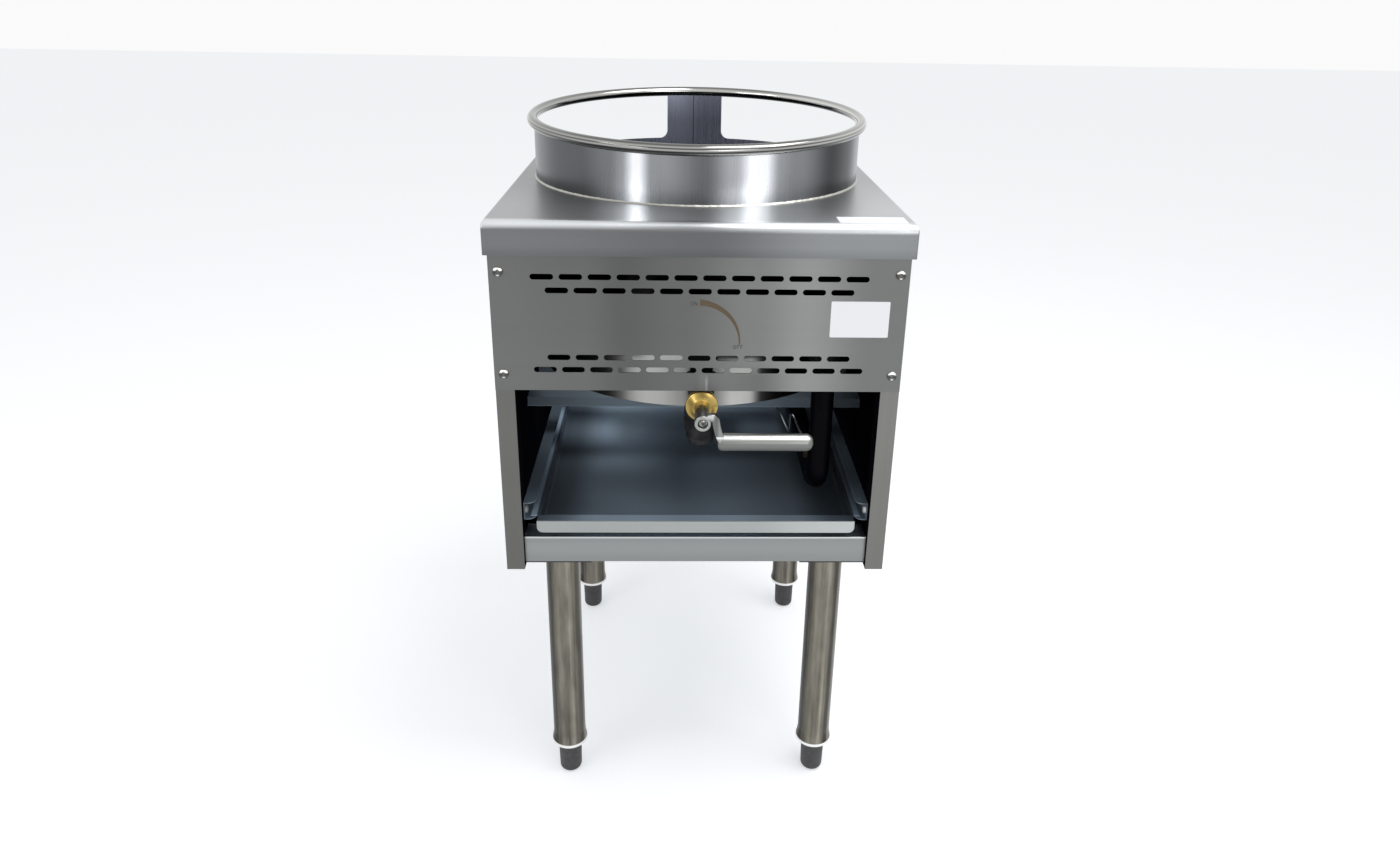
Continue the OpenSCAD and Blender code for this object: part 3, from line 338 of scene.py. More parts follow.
def dressed(node, finish, edge=0.0):
    """A welded copy of a node's own mesh, smooth over its curves, its edges rounded by edge."""
    mesh = nodes[node].data.copy()
    shape = bmesh.new()
    shape.from_mesh(mesh)
    bmesh.ops.remove_doubles(shape, verts=shape.verts, dist=1e-6)
    bmesh.ops.dissolve_limit(shape, angle_limit=math.radians(0.5), verts=shape.verts, edges=shape.edges)
    shape.to_mesh(mesh)
    shape.free()
    piece = shown(node + "_piece", mesh, finish, node)
    if edge:
        bevel = piece.modifiers.new("edges", "BEVEL")
        bevel.width = edge
        bevel.segments = 2
        bevel.limit_method = "ANGLE"
        bevel.angle_limit = math.radians(40)
    weighted = piece.modifiers.new("flat_faces", "WEIGHTED_NORMAL")
    weighted.keep_sharp = True
    return piece


# Bullet feet of dark plastic, moulded on steel studs that screw into the legs.
# They taper a little and are round at the floor.
foot_h = 0.050
foot_r = 0.0155
foot_low_r = 0.94 * foot_r
foot_round = 0.007
foot_gap = 0.0003
stud_r = 0.006
stud_top = 0.084
foot_finish = Finish("moulded foot", {})
foot_z = foot_finish.parts(foot_finish.place())[2]
foot_mottle = foot_finish.noise((160, 160, 160), 4.0)
foot_scuff = foot_finish.noise((60, 60, 400), 3.0)
foot_is_stud = foot_z.rise(foot_h - 0.0002, foot_h - 0.0001)
foot_grey = foot_finish.mix(foot_mottle, shade(40, 39, 41), shade(74, 73, 74))
foot_finish.feed("Base Color", foot_finish.mix(foot_is_stud, foot_grey, shade(170, 170, 168)))
foot_finish.feed("Metallic", foot_is_stud)
foot_finish.feed("Roughness", 0.42 + 0.25 * foot_scuff)
foot_finish.bump(foot_mottle, 0.0002, 0.5)
foot_outline = [(0.0, 0.0, 0.0), (foot_low_r, 0.0, foot_round), (foot_r, foot_h - foot_gap, 0.0012),
                (stud_r, foot_h - foot_gap, 0.0), (stud_r, stud_top, 0.001), (0.0, stud_top, 0.0)]
leg_centres = {corner: np.array(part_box("leg_" + corner)).mean(axis=0) for corner in corners}
for corner in corners:
    foot_at = (leg_centres[corner][0], leg_centres[corner][1], 0.0)
    foot_mesh = turned("bullet_foot_" + corner, filleted(foot_outline), foot_at, ring=False)
    shown("bullet_foot_" + corner, foot_mesh, foot_finish, "foot_" + corner)

# Legs of ground stainless tube, each flared at its lower end and welded to a plate
# under the rails. A bright threaded plug is pressed into the flare.
leg_r = 0.0212
leg_wall = 0.0015
flare_r = 0.02375
flare_h = 0.016
leg_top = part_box("leg_front_left")[1].z
leg_inset = float(leg_centres["front_right"][0])
leg_shift = 0.0022


def toned(value, full, stops):
    """Tone that steps smoothly along a value. A stop is a place and the shade shown there, and full
    is the shade that tone 1 shows."""
    linear = [shade(stop, stop, stop)[0] / shade(full, full, full)[0] for place, stop in stops]
    tone = linear[0]
    for k in range(len(stops) - 1):
        tone = tone + (linear[k + 1] - linear[k]) * value.rise(stops[k][0], stops[k + 1][0])
    return tone


def brushed(name, colour, grain, rough=0.36, light=None, cloud=0.12, fine=0.10, tint=None, metal=1.0):
    """Brushed steel: noise drawn out along the grain lightens, darkens and roughens it, and slow noise
    clouds it. light and tint, functions of the finish and x, y, z, give its broad tones and its hue."""
    finish = Finish(name, {"Metallic": metal})
    close = [3.0 if axis == grain else 620.0 for axis in "XYZ"]
    loose = [1.2 if axis == grain else 120.0 for axis in "XYZ"]
    hair = finish.noise(close, 3.0)
    band = finish.noise(loose, 2.0)
    drift = finish.noise((4.0, 4.0, 4.0), 3.0)
    tone = 1.0 + fine * (hair - 0.5) + fine * (band - 0.5) + cloud * (drift - 0.5)
    hue = shade(*colour)
    if light:
        tone = tone * light(finish, *finish.parts(finish.place()))
    if tint:
        hue = tint(finish, *finish.parts(finish.place()))
    finish.feed("Base Color", finish.scaled(hue, tone))
    finish.feed("Roughness", rough + 0.10 * (hair - 0.5) + 0.08 * (drift - 0.5))
    finish.bump(hair, 0.00004, 0.2)
    return finish


def flare_highlight(z):
    """1 on the flare's lowest few millimetres, where a painted highlight goes, and 0 above them."""
    return z.rise(foot_h + 0.0046, foot_h + 0.0036)


def leg_light(finish, x, y, z):
    """Painted reflections: bands of light and dark across the tube, which it picks up from the room, a little
    more inward on each leg. Painted shade darkens the right legs on their outer side, and a painted highlight
    brightens each flare's lower edge."""
    across = x - (leg_inset - leg_shift) * x.math("SIGN", x)
    body = toned(across, 150, [(-0.0205, 50), (-0.0175, 56), (-0.0135, 92), (-0.008, 118), (0.0, 108),
                               (0.006, 130), (0.0105, 104), (0.0165, 76), (0.0198, 130)])
    streaks = 1.0 + 1.1 * (finish.noise((300.0, 300.0, 5.0), 4.0) - 0.5)
    mottle = 1.1 * (finish.noise((110.0, 110.0, 22.0), 5.0) - 0.5)
    # Painted shade on the right legs' outer side, and a painted highlight on each flare's lower edge.
    outer_shade = 1.0 - 0.35 * x.rise(leg_inset + 0.007, leg_inset + 0.012)
    edge = flare_highlight(z)
    return body * outer_shade * (streaks + mottle) * (1.0 - edge) + 2.5 * edge


def leg_tint(finish, x, y, z):
    """Warm grey tube, and a neutral hue for the painted highlight on the flare's edge."""
    return finish.mix(flare_highlight(z), shade(153, 148, 136), shade(153, 153, 152))


leg_finish = brushed("ground leg tube", (153, 148, 136), "Z", 0.32, leg_light, 0.2, 0.10, leg_tint)
insert_finish = brushed("bright plug", (205, 205, 203), "Z", 0.22)
leg_plate_finish = brushed("leg plate", (60, 60, 62), "X", 0.5)
leg_waist = 0.45 * (flare_r - leg_r)
leg_outline = [(leg_r, leg_top, 0.0), (leg_r, foot_h + flare_h, 0.012),
               (leg_r + leg_waist, foot_h + flare_h / 2, 0.004), (flare_r, foot_h + leg_wall, 0.0006),
               (flare_r, foot_h, 0.0006), (flare_r - leg_wall, foot_h, 0.0006),
               (leg_r - leg_wall + leg_waist, foot_h + flare_h / 2, 0.0),
               (leg_r - leg_wall, foot_h + flare_h, 0.0), (leg_r - leg_wall, leg_top, 0.0)]
for corner in corners:
    leg_at = (leg_centres[corner][0], leg_centres[corner][1], 0.0)
    leg_mesh = turned("leg_tube_" + corner, filleted(leg_outline), leg_at)
    shown("leg_tube_" + corner, leg_mesh, leg_finish, "leg_" + corner)
    dressed("leg_insert_" + corner, insert_finish, 0.0003)
    dressed("leg_plate_" + corner, leg_plate_finish, 0.0004)

# Rails of folded stainless sheet across the cabinet's foot, front and rear.
# The front one shows as the apron under the tray.
rail_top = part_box("front_apron")[1].z


def rail_light(finish, x, y, z):
    """A painted highlight along the upper fold, and painted shade below it."""
    return toned(z, 150, [(rail_top - 0.034, 132), (rail_top - 0.012, 140), (rail_top - 0.003, 134),
                          (rail_top - 0.0008, 190)])


rail_finish = brushed("rail sheet", (150, 153, 152), "X", 0.34, rail_light, 0.06)
dressed("front_apron", rail_finish, 0.0005)
dressed("rear_rail", rail_finish, 0.0005)

# Side and back sheets of the cabinet, brushed upright. Each side is folded into
# flanges at its corners, which show as the posts, and inside the cabinet its faces are painted near-black
# shade.
side_inner_x = 0.2245
post_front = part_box("side_panel_left")[0].y + 0.0008
post_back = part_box("back_panel")[1].y - 0.0008


def inside_cabinet(x, y):
    """1 on the faces that look into the cabinet, 0 on those that look out."""
    return (x.size().rise(side_inner_x, side_inner_x - 0.0002) * y.rise(post_front, post_front + 0.0002)
            * y.rise(post_back, post_back - 0.0002))


def side_light(finish, x, y, z):
    """Painted shade: the left side is a little darker than the right one, and both are a little darker low
    down.
    """
    return toned(x, 150, [(-0.21, 104), (0.21, 119)]) * toned(z, 150, [(0.36, 143), (0.46, 146), (0.56, 152)])


side_finish = brushed("side sheet", (151, 150, 146), "Z", 0.38, side_light)
side_x, side_y = side_finish.parts(side_finish.place())[:2]
# Painted shade: a dull near-black shader on every face inside the cabinet.
painted_inside_shade = {"Base Color": shade(12, 13, 18), "Roughness": 0.7, "Specular IOR Level": 0.0}
side_finish.lined(inside_cabinet(side_x, side_y), painted_inside_shade)
dressed("side_panel_left", side_finish, 0.0005)
dressed("side_panel_right", side_finish, 0.0005)
dressed("back_panel", side_finish, 0.0004)


def cast(name, dark, light, rough=0.6, metal=0.0):
    """Cast or handled metal: fine pits, and soft lumps, a little lighter where they stand proud."""
    finish = Finish(name, {"Metallic": metal})
    pits = finish.noise((700, 700, 700), 4.0)
    lumps = finish.noise((90, 90, 90), 3.0)
    finish.feed("Base Color", finish.mix(lumps.rise(0.35, 0.7), shade(*dark), shade(*light)))
    finish.feed("Roughness", rough + 0.25 * (pits - 0.5))
    finish.bump(pits + 2.0 * lumps, 0.0004, 0.6)
    return finish


screw_finish = cast("bright screws", (84, 83, 80), (196, 194, 188), 0.2, 1.0)
dressed("back_screws", screw_finish, 0.0002)

# Channels on both walls that carry the drip tray, with their screws, and the tray:
# a shallow folded pan of satin steel, its front lip painted bright and its pan painted with light and shade.
slide_finish = brushed("slide sheet", (104, 118, 130), "Y", 0.4, metal=0.35)
dressed("tray_slide_left", slide_finish, 0.0003)
dressed("tray_slide_right", slide_finish, 0.0003)
slide_screw_finish = cast("pale screws", (150, 150, 146), (250, 250, 248), 0.4, 0.2)
dressed("slide_screws", slide_screw_finish, 0.0002)
tray_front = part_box("drip_tray")[0].y


def on_lip(y):
    """1 on the face of the tray's front lip, 0 behind it."""
    return y.rise(tray_front + 0.0022, tray_front + 0.0014)


def tray_light(finish, x, y, z):
    """Painted light: the lip's face is bright, the pan behind it dull, with a painted pale reflection at its
    back, a painted pool of light on its left and painted shade towards its sides and to the right.
    """
    lip = toned(x, 150, [(-0.15, 158), (0.05, 166), (0.15, 186)])
    pan = toned(y, 150, [(-0.232, 124), (-0.19, 102), (-0.11, 90), (-0.02, 104), (0.06, 146), (0.15, 172)])
    # Painted shade towards the pan's sides, and a painted highlight on its side folds.
    edge = toned(x.size(), 150, [(0.12, 150), (0.170, 96), (0.189, 84), (0.1905, 176)])
    # Painted pool of light on the pan's left, where light falls in through the ring.
    glow = 1.2 * x.hump(-0.095, 0.10) * y.hump(0.05, 0.15)
    pan = (pan + glow) * edge * toned(x, 150, [(0.03, 150), (0.11, 126)])
    return pan + (lip - pan) * on_lip(y)


def tray_tint(finish, x, y, z):
    """The pan is bluer than the lip."""
    return finish.mix(on_lip(y), shade(168, 188, 208), shade(150, 154, 153))


tray_finish = brushed("tray sheet", (150, 150, 150), "X", 0.42, tray_light, 0.35, 0.06, tray_tint, 0.3)
dressed("drip_tray", tray_finish, 0.0003)

# Bars across the cabinet and the cast iron burner bolted on them, with brass jets.
# The casting is rough and dark.


def bar_light(finish, x, y, z):
    """Painted light: paler towards the middle, under the burner's light, with a painted highlight along the
    lower fold.
    """
    return toned(x.size(), 150, [(0.06, 176), (0.20, 140)]) * toned(z, 150, [(0.4812, 176), (0.4826, 150)])


bar_finish = brushed("crossbar sheet", (116, 129, 140), "X", 0.4, bar_light, metal=0.35)
dressed("crossbar_front", bar_finish, 0.0004)
dressed("crossbar_rear", bar_finish, 0.0004)
burner_finish = cast("burner casting", (30, 30, 32), (66, 64, 62))
brass_finish = brushed("turned brass", (214, 178, 98), "Y", 0.28)
dressed("burner_body", burner_finish, 0.0008)
dressed("burner_jets", brass_finish)
dressed("burner_bolts", screw_finish, 0.0003)
dressed("burner_nuts", screw_finish, 0.0003)

# The gas line: black pipe and cast elbows from the inlet at the back, up behind
# the panel, across to the valve and on to the burner.
pipe_finish = Finish("black pipe", {"Specular IOR Level": 0.04})
pipe_specks = pipe_finish.noise((420, 420, 420), 2.0)
pipe_wave = pipe_finish.noise((40, 40, 40), 3.0)
pipe_tone = pipe_finish.mix(pipe_specks.rise(0.72, 0.78), shade(2, 2, 4), shade(34, 36, 42))
pipe_finish.feed("Base Color", pipe_tone)
pipe_finish.feed("Roughness", 0.30 + 0.3 * pipe_wave)
pipe_finish.bump(pipe_wave, 0.0003, 0.4)
elbow_finish = cast("black elbow", (22, 22, 25), (50, 50, 53), 0.6)
elbow_finish.shader.inputs["Specular IOR Level"].default_value = 0.15
for node in ("burner_pipe", "drop_nipple", "cross_pipe", "supply_riser", "inlet_nipple"):
    dressed(node, pipe_finish, 0.0004)
for node in ("valve_elbow", "valve_top_elbow", "riser_elbow", "inlet_coupling"):
    dressed(node, elbow_finish, 0.0008)

# The plug valve: a cast body, a turned brass bonnet nut and stem, and the cast
# lever that turns the stem by a quarter.
stem_low, stem_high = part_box("valve_stem")
stem_x = (stem_low.x + stem_high.x) / 2
stem_z = (stem_low.z + stem_high.z) / 2
stem_r = (stem_high.x - stem_low.x) / 2
bonnet_low, bonnet_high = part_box("valve_bonnet")
bonnet_r = (bonnet_high.x - bonnet_low.x) / 2
bonnet_l = bonnet_high.y - bonnet_low.y
bonnet_hub = 0.006
body_finish = cast("dark valve body", (16, 13, 10), (60, 46, 28), 0.5, 0.4)
dressed("valve_body", body_finish, 0.0005)
bonnet_bore = stem_r + 0.0002
bonnet_face = bonnet_l - bonnet_hub
bonnet_steps = [(bonnet_bore, 0.0, 0.0), (bonnet_r, 0.0, 0.0008), (bonnet_r, bonnet_face, 0.0014),
                (0.80 * bonnet_r, bonnet_face + 0.0022, 0.02), (0.62 * bonnet_r, bonnet_l - 0.0008, 0.004),
                (0.56 * bonnet_r, bonnet_l, 0.0006), (bonnet_bore, bonnet_l, 0.0003)]


def brass_light(finish, x, y, z):
    """A painted highlight makes the disc's rim a pale line, and painted shade darkens its face to the lower
    left, away from the room.
    """
    across, up = x - stem_x, z - stem_z
    # Painted highlight on the disc's rim, and painted shade to the lower left.
    rim = 0.8 * (across * across + up * up).root().hump(bonnet_r, 0.0013)
    slant = across + 0.6 * up
    return toned(slant, 150, [(-0.018, 128), (-0.008, 104), (0.002, 142), (0.010, 126), (0.018, 150)]) + rim


bonnet_finish = brushed("turned brass disc", (194, 167, 98), "Y", 0.30, brass_light, 0.2, 0.05)
bonnet_mesh = turned("bonnet_nut", filleted(bonnet_steps), (stem_x, bonnet_high.y, stem_z),
                     (0.0, -1.0, 0.0), sides=96)
shown("bonnet_nut", bonnet_mesh, bonnet_finish, "valve_bonnet")
# The stem's brass is painted much paler than the other brass, for the highlight it shows.
stem_finish = brushed("turned brass stem", (250, 236, 196), "Y", 0.3)
dressed("valve_stem", stem_finish, 0.0003)

boss_r = 0.0092
boss_back_r = 0.0084
boss_l = 0.028
boss_recess_r = 0.0045
boss_recess = 0.0035
spigot_r = 0.00505
spigot_l = 0.022
lever_bore_r = 0.00245
lever_low, lever_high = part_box("gas_lever")
grip_r = 0.0099
grip_z = lever_low.z + grip_r
grip_y = lever_low.y + grip_r
grip_start = stem_x + 0.0162


def lever_light(finish, x, y, z):
    """Painted reflection: pale above and grey below, as a round casting shows a bright room over a dark
    cabinet. The boss's side has painted shade but for a painted streak of light, and a painted highlight on a
    facet beside it."""
    grip = toned((z - grip_z) / grip_r, 150, [(-1.0, 84), (-0.55, 98), (0.0, 116), (0.45, 132), (0.85, 222),
                                              (1.0, 236)])
    across = x - stem_x
    face = y.rise(lever_low.y + 0.0012, lever_low.y + 0.0004)
    side = 1.9 * toned(across, 150, [(-0.008, 84), (-0.004, 96), (0.0, 142), (0.003, 110), (0.0065, 150)])
    boss = side + (1.05 - side) * face
    arm = toned(across, 150, [(0.010, 112), (0.0155, 104), (0.0185, 134)])
    facet_highlight = 1.3 * across.hump(0.0100, 0.0040) * (z - stem_z).hump(0.0070, 0.0066)
    on_arm = across.rise(0.0078, 0.0088)
    head = boss + (arm + facet_highlight - boss) * on_arm
    past_arm = across.rise(0.0225, 0.0235)
    on_grip = past_arm + (1.0 - past_arm) * z.rise(grip_z + grip_r, grip_z + grip_r - 0.001)
    return head + (grip - head) * on_grip


lever_finish = brushed("cast lever", (151, 152, 150), "X", 0.36, lever_light, 0.1, 0.3)
boss_outline = [(lever_bore_r, boss_recess, 0.0), (boss_recess_r, boss_recess, 0.0003),
                (boss_recess_r + 0.0012, 0.0, 0.0006), (boss_r, 0.0, 0.0014), (boss_back_r, boss_l, 0.0008),
                (spigot_r, boss_l, 0.0003), (spigot_r, boss_l - spigot_l, 0.0),
                (lever_bore_r, boss_l - spigot_l, 0.0)]
boss_mesh = turned("lever_boss", filleted(boss_outline), (stem_x, lever_low.y, stem_z), (0.0, 1.0, 0.0))
shown("lever_boss", boss_mesh, lever_finish, "gas_lever")


def sections(name, rings):
    """Closed skin over a row of closed rings of points, each end drawn in to its middle."""
    rings = np.array(rings)
    first = np.broadcast_to(rings[0].mean(axis=0), rings[0].shape)
    last = np.broadcast_to(rings[-1].mean(axis=0), rings[-1].shape)
    return closed_grid(name, np.concatenate([first[None], rings, last[None]]), round_v=True)


def rounded_ring(centre, side, rise, half_w, half_h, corner, steps=5):
    """Ring of points: a rectangle of half_w along side and half_h along rise, its corners rounded."""
    outline = filleted([(half_w, half_h, corner), (-half_w, half_h, corner),
                        (-half_w, -half_h, corner), (half_w, -half_h, corner)], steps)
    return np.array(centre) + outline[:, :1] * np.array(side) + outline[:, 1:] * np.array(rise)


def round_ring(centre, radius, count=36):
    """Ring of points: a circle of the radius round the grip's own direction, X."""
    t = np.linspace(0.0, 2 * np.pi, count, endpoint=False)
    return np.array(centre) + radius * np.column_stack([np.zeros(count), np.cos(t), np.sin(t)])


# The arm leaves the boss nearly level, bends down and runs into the round grip.
arm_depth = 0.0040
arm_route = np.array([(0.0040, 0.0030), (0.0080, 0.0050), (0.0112, 0.0055), (0.0140, 0.0030),
                      (0.0156, -0.0050), (0.0176, -0.0130), (0.0196, -0.0180), (0.0204, -0.0215)])
arm_half_w = (0.0040, 0.0044, 0.0046, 0.0046, 0.0044, 0.0044, 0.0044, 0.0042)
arm_front = lever_low.y + 0.0025
arm_rings = []
for k, (x, z) in enumerate(arm_route):
    ahead = arm_route[min(k + 1, len(arm_route) - 1)] - arm_route[max(k - 1, 0)]
    ahead = ahead / np.linalg.norm(ahead)
    side = (-ahead[1], 0.0, ahead[0])
    middle = (stem_x + x, arm_front + arm_depth, stem_z + z)
    arm_rings.append(rounded_ring(middle, side, (0.0, 1.0, 0.0), arm_half_w[k], arm_depth, 0.0016))
shown("lever_arm", sections("lever_arm", arm_rings), lever_finish, "gas_lever", sharp=40.0)
grip_end = lever_high.x
grip_round = 0.0085
grip_rings = []
for x, share in [(grip_start, 0.60), (grip_start + 0.0012, 0.82), (grip_start + 0.0035, 0.96),
                 (grip_start + 0.007, 1.0), (grip_start + 0.03, 0.985), (grip_start + 0.07, 0.99)]:
    grip_rings.append(round_ring((x, grip_y, grip_z), share * grip_r))
for t in np.linspace(0.0, 0.47 * np.pi, 8):
    x = grip_end - grip_round + grip_round * math.sin(t)
    reach = grip_r - grip_round + grip_round * math.cos(t)
    grip_rings.append(round_ring((x, grip_y, grip_z), reach))
shown("lever_grip", sections("lever_grip", grip_rings), lever_finish, "gas_lever")
dressed("lever_screw", screw_finish, 0.0002)

# The pilot: a thin bright tube from a fitting on the gas line to a small brass
# burner, which a steel strip holds.
tube_finish = brushed("pilot tube", (190, 192, 194), "Z", 0.25)
dressed("pilot_fitting", body_finish, 0.0003)
dressed("pilot_tube", tube_finish)
dressed("pilot_burner", brass_finish, 0.0003)
dressed("pilot_bracket", bar_finish, 0.0002)

# The control panel: brushed sheet with four rows of slots and four screws. A
# tapering arc with ON and OFF is printed on it, and it carries a blank label.
panel_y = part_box("control_panel")[0].y


def panel_light(finish, x, y, z):
    """Painted light: darker left of the middle and pale to the right, with the valve's painted pale
    reflection low down and a dull patch beside it. The slots' walls and the back of the sheet are painted
    dark, for the shade in and behind them."""
    broad = toned(x, 150, [(-0.22, 109), (-0.13, 104), (-0.08, 93), (-0.02, 101), (0.06, 121), (0.115, 137),
                           (0.19, 116)])
    right = toned(x, 150, [(0.12, 150), (0.2, 146)])
    valve = 0.42 * x.hump(0.0085, 0.0022) * z.rise(0.612, 0.600)
    valve = valve + 0.08 * x.hump(0.0045, 0.008) * z.rise(0.618, 0.604)
    # Painted shade: the slots' walls and the back of the sheet are dark.
    walls = y.rise(panel_y + 0.00005, panel_y + 0.0004)
    patch = 0.25 * x.hump(0.066, 0.05) * z.rise(0.625, 0.605)
    return (broad * right * (1.0 - patch) + valve) * (1.0 - 0.93 * walls)


panel_finish = brushed("panel sheet", (151, 152, 150), "X", 0.38, panel_light, 0.10, 0.05)
dressed("control_panel", panel_finish, 0.0003)
screws_low, screws_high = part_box("panel_screws")
screw_head_r = 0.00525
screw_x = screws_high.x - screw_head_r
screw_row_low = screws_low.z + screw_head_r
screw_row_high = screws_high.z - screw_head_r
screw_row_middle = (screw_row_low + screw_row_high) / 2


def screw_light(finish, x, y, z):
    """Painted light on each head: a painted highlight above, painted shade at its sides and in its cross, and
    a painted highlight spot low down.
    """
    across = x.size() - screw_x
    is_upper = z.rise(screw_row_middle - 0.001, screw_row_middle + 0.001)
    up = z - screw_row_low - (screw_row_high - screw_row_low) * is_upper
    square = across * across + up * up
    hollow = square.rise(0.0034 ** 2, 0.0024 ** 2)
    crown_highlight = up.rise(0.0008, 0.0030) * (1.0 - hollow)
    spot = across.hump(0.0, 0.0026) * up.hump(-0.0034, 0.0016)
    return 0.12 + 1.4 * crown_highlight + 1.1 * spot + 0.10 * hollow


panel_screw_finish = brushed("bright screw heads", (205, 204, 200), "Y", 0.25, screw_light, 0.1)
dressed("panel_screws", panel_screw_finish, 0.0002)


def raised(name, outlines, at, across, along, out, lift):
    """Thin plates on a face, one for each outline of (across, along) points, lift thick."""
    points, faces = [], []
    for outline in outlines:
        outline = np.asarray(outline, dtype=float)
        count, first = len(outline), len(points)
        flat = np.array(at) + outline[:, :1] * np.array(across) + outline[:, 1:] * np.array(along)
        points += flat.tolist() + (flat + lift * np.array(out)).tolist()
        low = list(range(first, first + count))
        high = list(range(first + count, first + 2 * count))
        faces += [low[::-1], high]
        faces += [(low[k - 1], low[k], high[k], high[k - 1]) for k in range(count)]
    mesh = bpy.data.meshes.new(name)
    mesh.from_pydata(points, [], faces)
    return mesh


def stroke(start, end, width):
    """Outline of a straight stroke between two points."""
    start, end = np.array(start, dtype=float), np.array(end, dtype=float)
    side = np.array([start[1] - end[1], end[0] - start[0]]) * width / 2 / np.linalg.norm(end - start)
    return [start + side, start - side, end - side, end + side]


letter_h = 0.0042
letter_w = 0.0026
letter_line = 0.0007
print_lift = 0.00012


def letter(kind, x, z):
    """Strokes of an O, an N or an F whose lower left corner is at x, z."""
    if kind == "O":
        t = np.linspace(0, 2 * np.pi, 13)
        rim = np.column_stack([x + letter_w / 2 * (1 + np.cos(t)), z + letter_h / 2 * (1 + np.sin(t))])
        return [stroke(rim[k], rim[k + 1], letter_line) for k in range(12)]
    lines = [((0, 0), (0, 1)), ((0, 1), (1, 0)), ((1, 0), (1, 1))]
    if kind == "F":
        lines = [((0, 0), (0, 1)), ((0, 1), (1, 1)), ((0, 0.5), (0.8, 0.5))]
    return [stroke((x + letter_w * a[0], z + letter_h * a[1]), (x + letter_w * b[0], z + letter_h * b[1]),
                   letter_line) for a, b in lines]


panel_face = dict(across=(1, 0, 0), along=(0, 0, 1), out=(0, -1, 0))
arc_centre = (0.0, panel_y, 0.645)
arc_turn = np.linspace(0.0, 1.0, 25)
arc_out_r, arc_in_r = 0.0516, 0.0444
arc_out_narrows, arc_in_narrows = 0.0074, 0.0014
arc_outer = arc_out_r - arc_out_narrows * arc_turn
arc_inner = arc_in_r - arc_in_narrows * arc_turn
arc_way = np.column_stack([np.sin(arc_turn * np.pi / 2), np.cos(arc_turn * np.pi / 2)])
arc_outline = np.vstack([arc_outer[:, None] * arc_way, (arc_inner[:, None] * arc_way)[::-1]])
arc_finish = Finish("brown print", {"Base Color": shade(88, 75, 57), "Roughness": 0.45, "Metallic": 0.3})
arc_mesh = raised("printed_arc", [arc_outline], arc_centre, lift=print_lift, **panel_face)
shown("printed_arc", arc_mesh, arc_finish, "control_panel", stands_in=False)
word_strokes = []
for word, z, places in (("ON", 0.6896, (-0.0100, -0.0058)), ("OFF", 0.6402, (0.0370, 0.0413, 0.0452))):
    for kind, x in zip(word, places):
        word_strokes += letter(kind, x, z)
word_finish = Finish("dark print", {"Base Color": shade(62, 60, 58), "Roughness": 0.5})
word_mesh = raised("printed_words", word_strokes, (0.0, panel_y, 0.0), lift=print_lift, **panel_face)
shown("printed_words", word_mesh, word_finish, "control_panel", stands_in=False)
label_finish = Finish("blank label", {"Base Color": shade(236, 237, 240), "Roughness": 0.35})
label_corner = 0.0012


def sticker_outline(right, left, top, foot, corner):
    """Rectangle between two sides, a top and a foot, its corners rounded."""
    return filleted([(right, top, corner), (left, top, corner), (left, foot, corner),
                     (right, foot, corner)], steps=4)


label_low, label_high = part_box("blank_label")
label_outline = sticker_outline(label_high.x, label_low.x, label_high.z, label_low.z, label_corner)
label_mesh = raised("square_label", [label_outline], (0.0, panel_y, 0.0), lift=label_high.y - label_low.y,
                    **panel_face)
shown("square_label", label_mesh, label_finish, "blank_label")

# The top plate: one sheet with a round hole, folded down on all four sides. The
# front and rear folds are round, the sides tighter, and the corners are closed.
plate_low, plate_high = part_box("top_plate")
plate_t = 0.0015
plate_front_r = 0.010
plate_side_r = 0.004
plate_corner_r = 0.0016
weld_low, weld_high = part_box("ring_weld")
ring_y = (weld_low.y + weld_high.y) / 2
ring_r = 0.2075
ring_t = 0.002
ring_skin = (ring_r - 0.0012, ring_r - 0.0008)
plate_y = (plate_low.y + plate_high.y) / 2


def folded_row(drop, inset):
    """Round-cornered rectangle of the sheet's face, drop below its top and inset from its outside.
    Each half width is w - r + sqrt(r^2 - (r - drop)^2) within the fold's radius r, and w below it."""
    halves = []
    for half, radius in ((plate_high.x, plate_side_r), (plate_high.y - plate_y, plate_front_r)):
        radius = radius - inset
        short = max(radius - drop, 0.0)
        halves.append(half - inset - radius + math.sqrt(radius ** 2 - short ** 2))
    corner = max(plate_corner_r - inset, 0.0004)
    wide, deep = halves
    outline = filleted([(wide, deep, corner), (-wide, deep, corner), (-wide, -deep, corner),
                        (wide, -deep, corner)], 5)
    ring = []
    for start, end in zip(outline, np.roll(outline, -1, axis=0)):
        cuts = 24 if np.linalg.norm(end - start) > 0.1 else 1
        ring += [start + (end - start) * k / cuts for k in range(cuts)]
    z = plate_high.z - inset - drop
    return np.array([(x, plate_y + y, z) for x, y in ring])


def hole_row(row, z):
    """Points on the hole's edge at height z, each in line with a point of the row."""
    away = row[:, :2] - (0.0, ring_y)
    away = away / np.linalg.norm(away, axis=1)[:, None] * (ring_r - ring_t)
    return np.column_stack([away[:, 0], away[:, 1] + ring_y, np.full(len(row), z)])


lip_h = plate_high.z - plate_low.z
plate_rows = []
for inset in (0.0, plate_t):
    fold = [(plate_front_r - inset) * (1 - math.cos(t)) for t in np.linspace(0.0, np.pi / 2, 13)]
    drops = fold + [plate_front_r + 0.0008, lip_h - inset - 0.0008, lip_h - inset]
    shell = [folded_row(drop, inset) for drop in drops]
    middle = shell[0] + (hole_row(shell[0], shell[0][0, 2]) - shell[0]) * 0.02
    shell = [hole_row(shell[0], shell[0][0, 2]), middle] + shell
    plate_rows += shell if inset == 0.0 else shell[::-1]


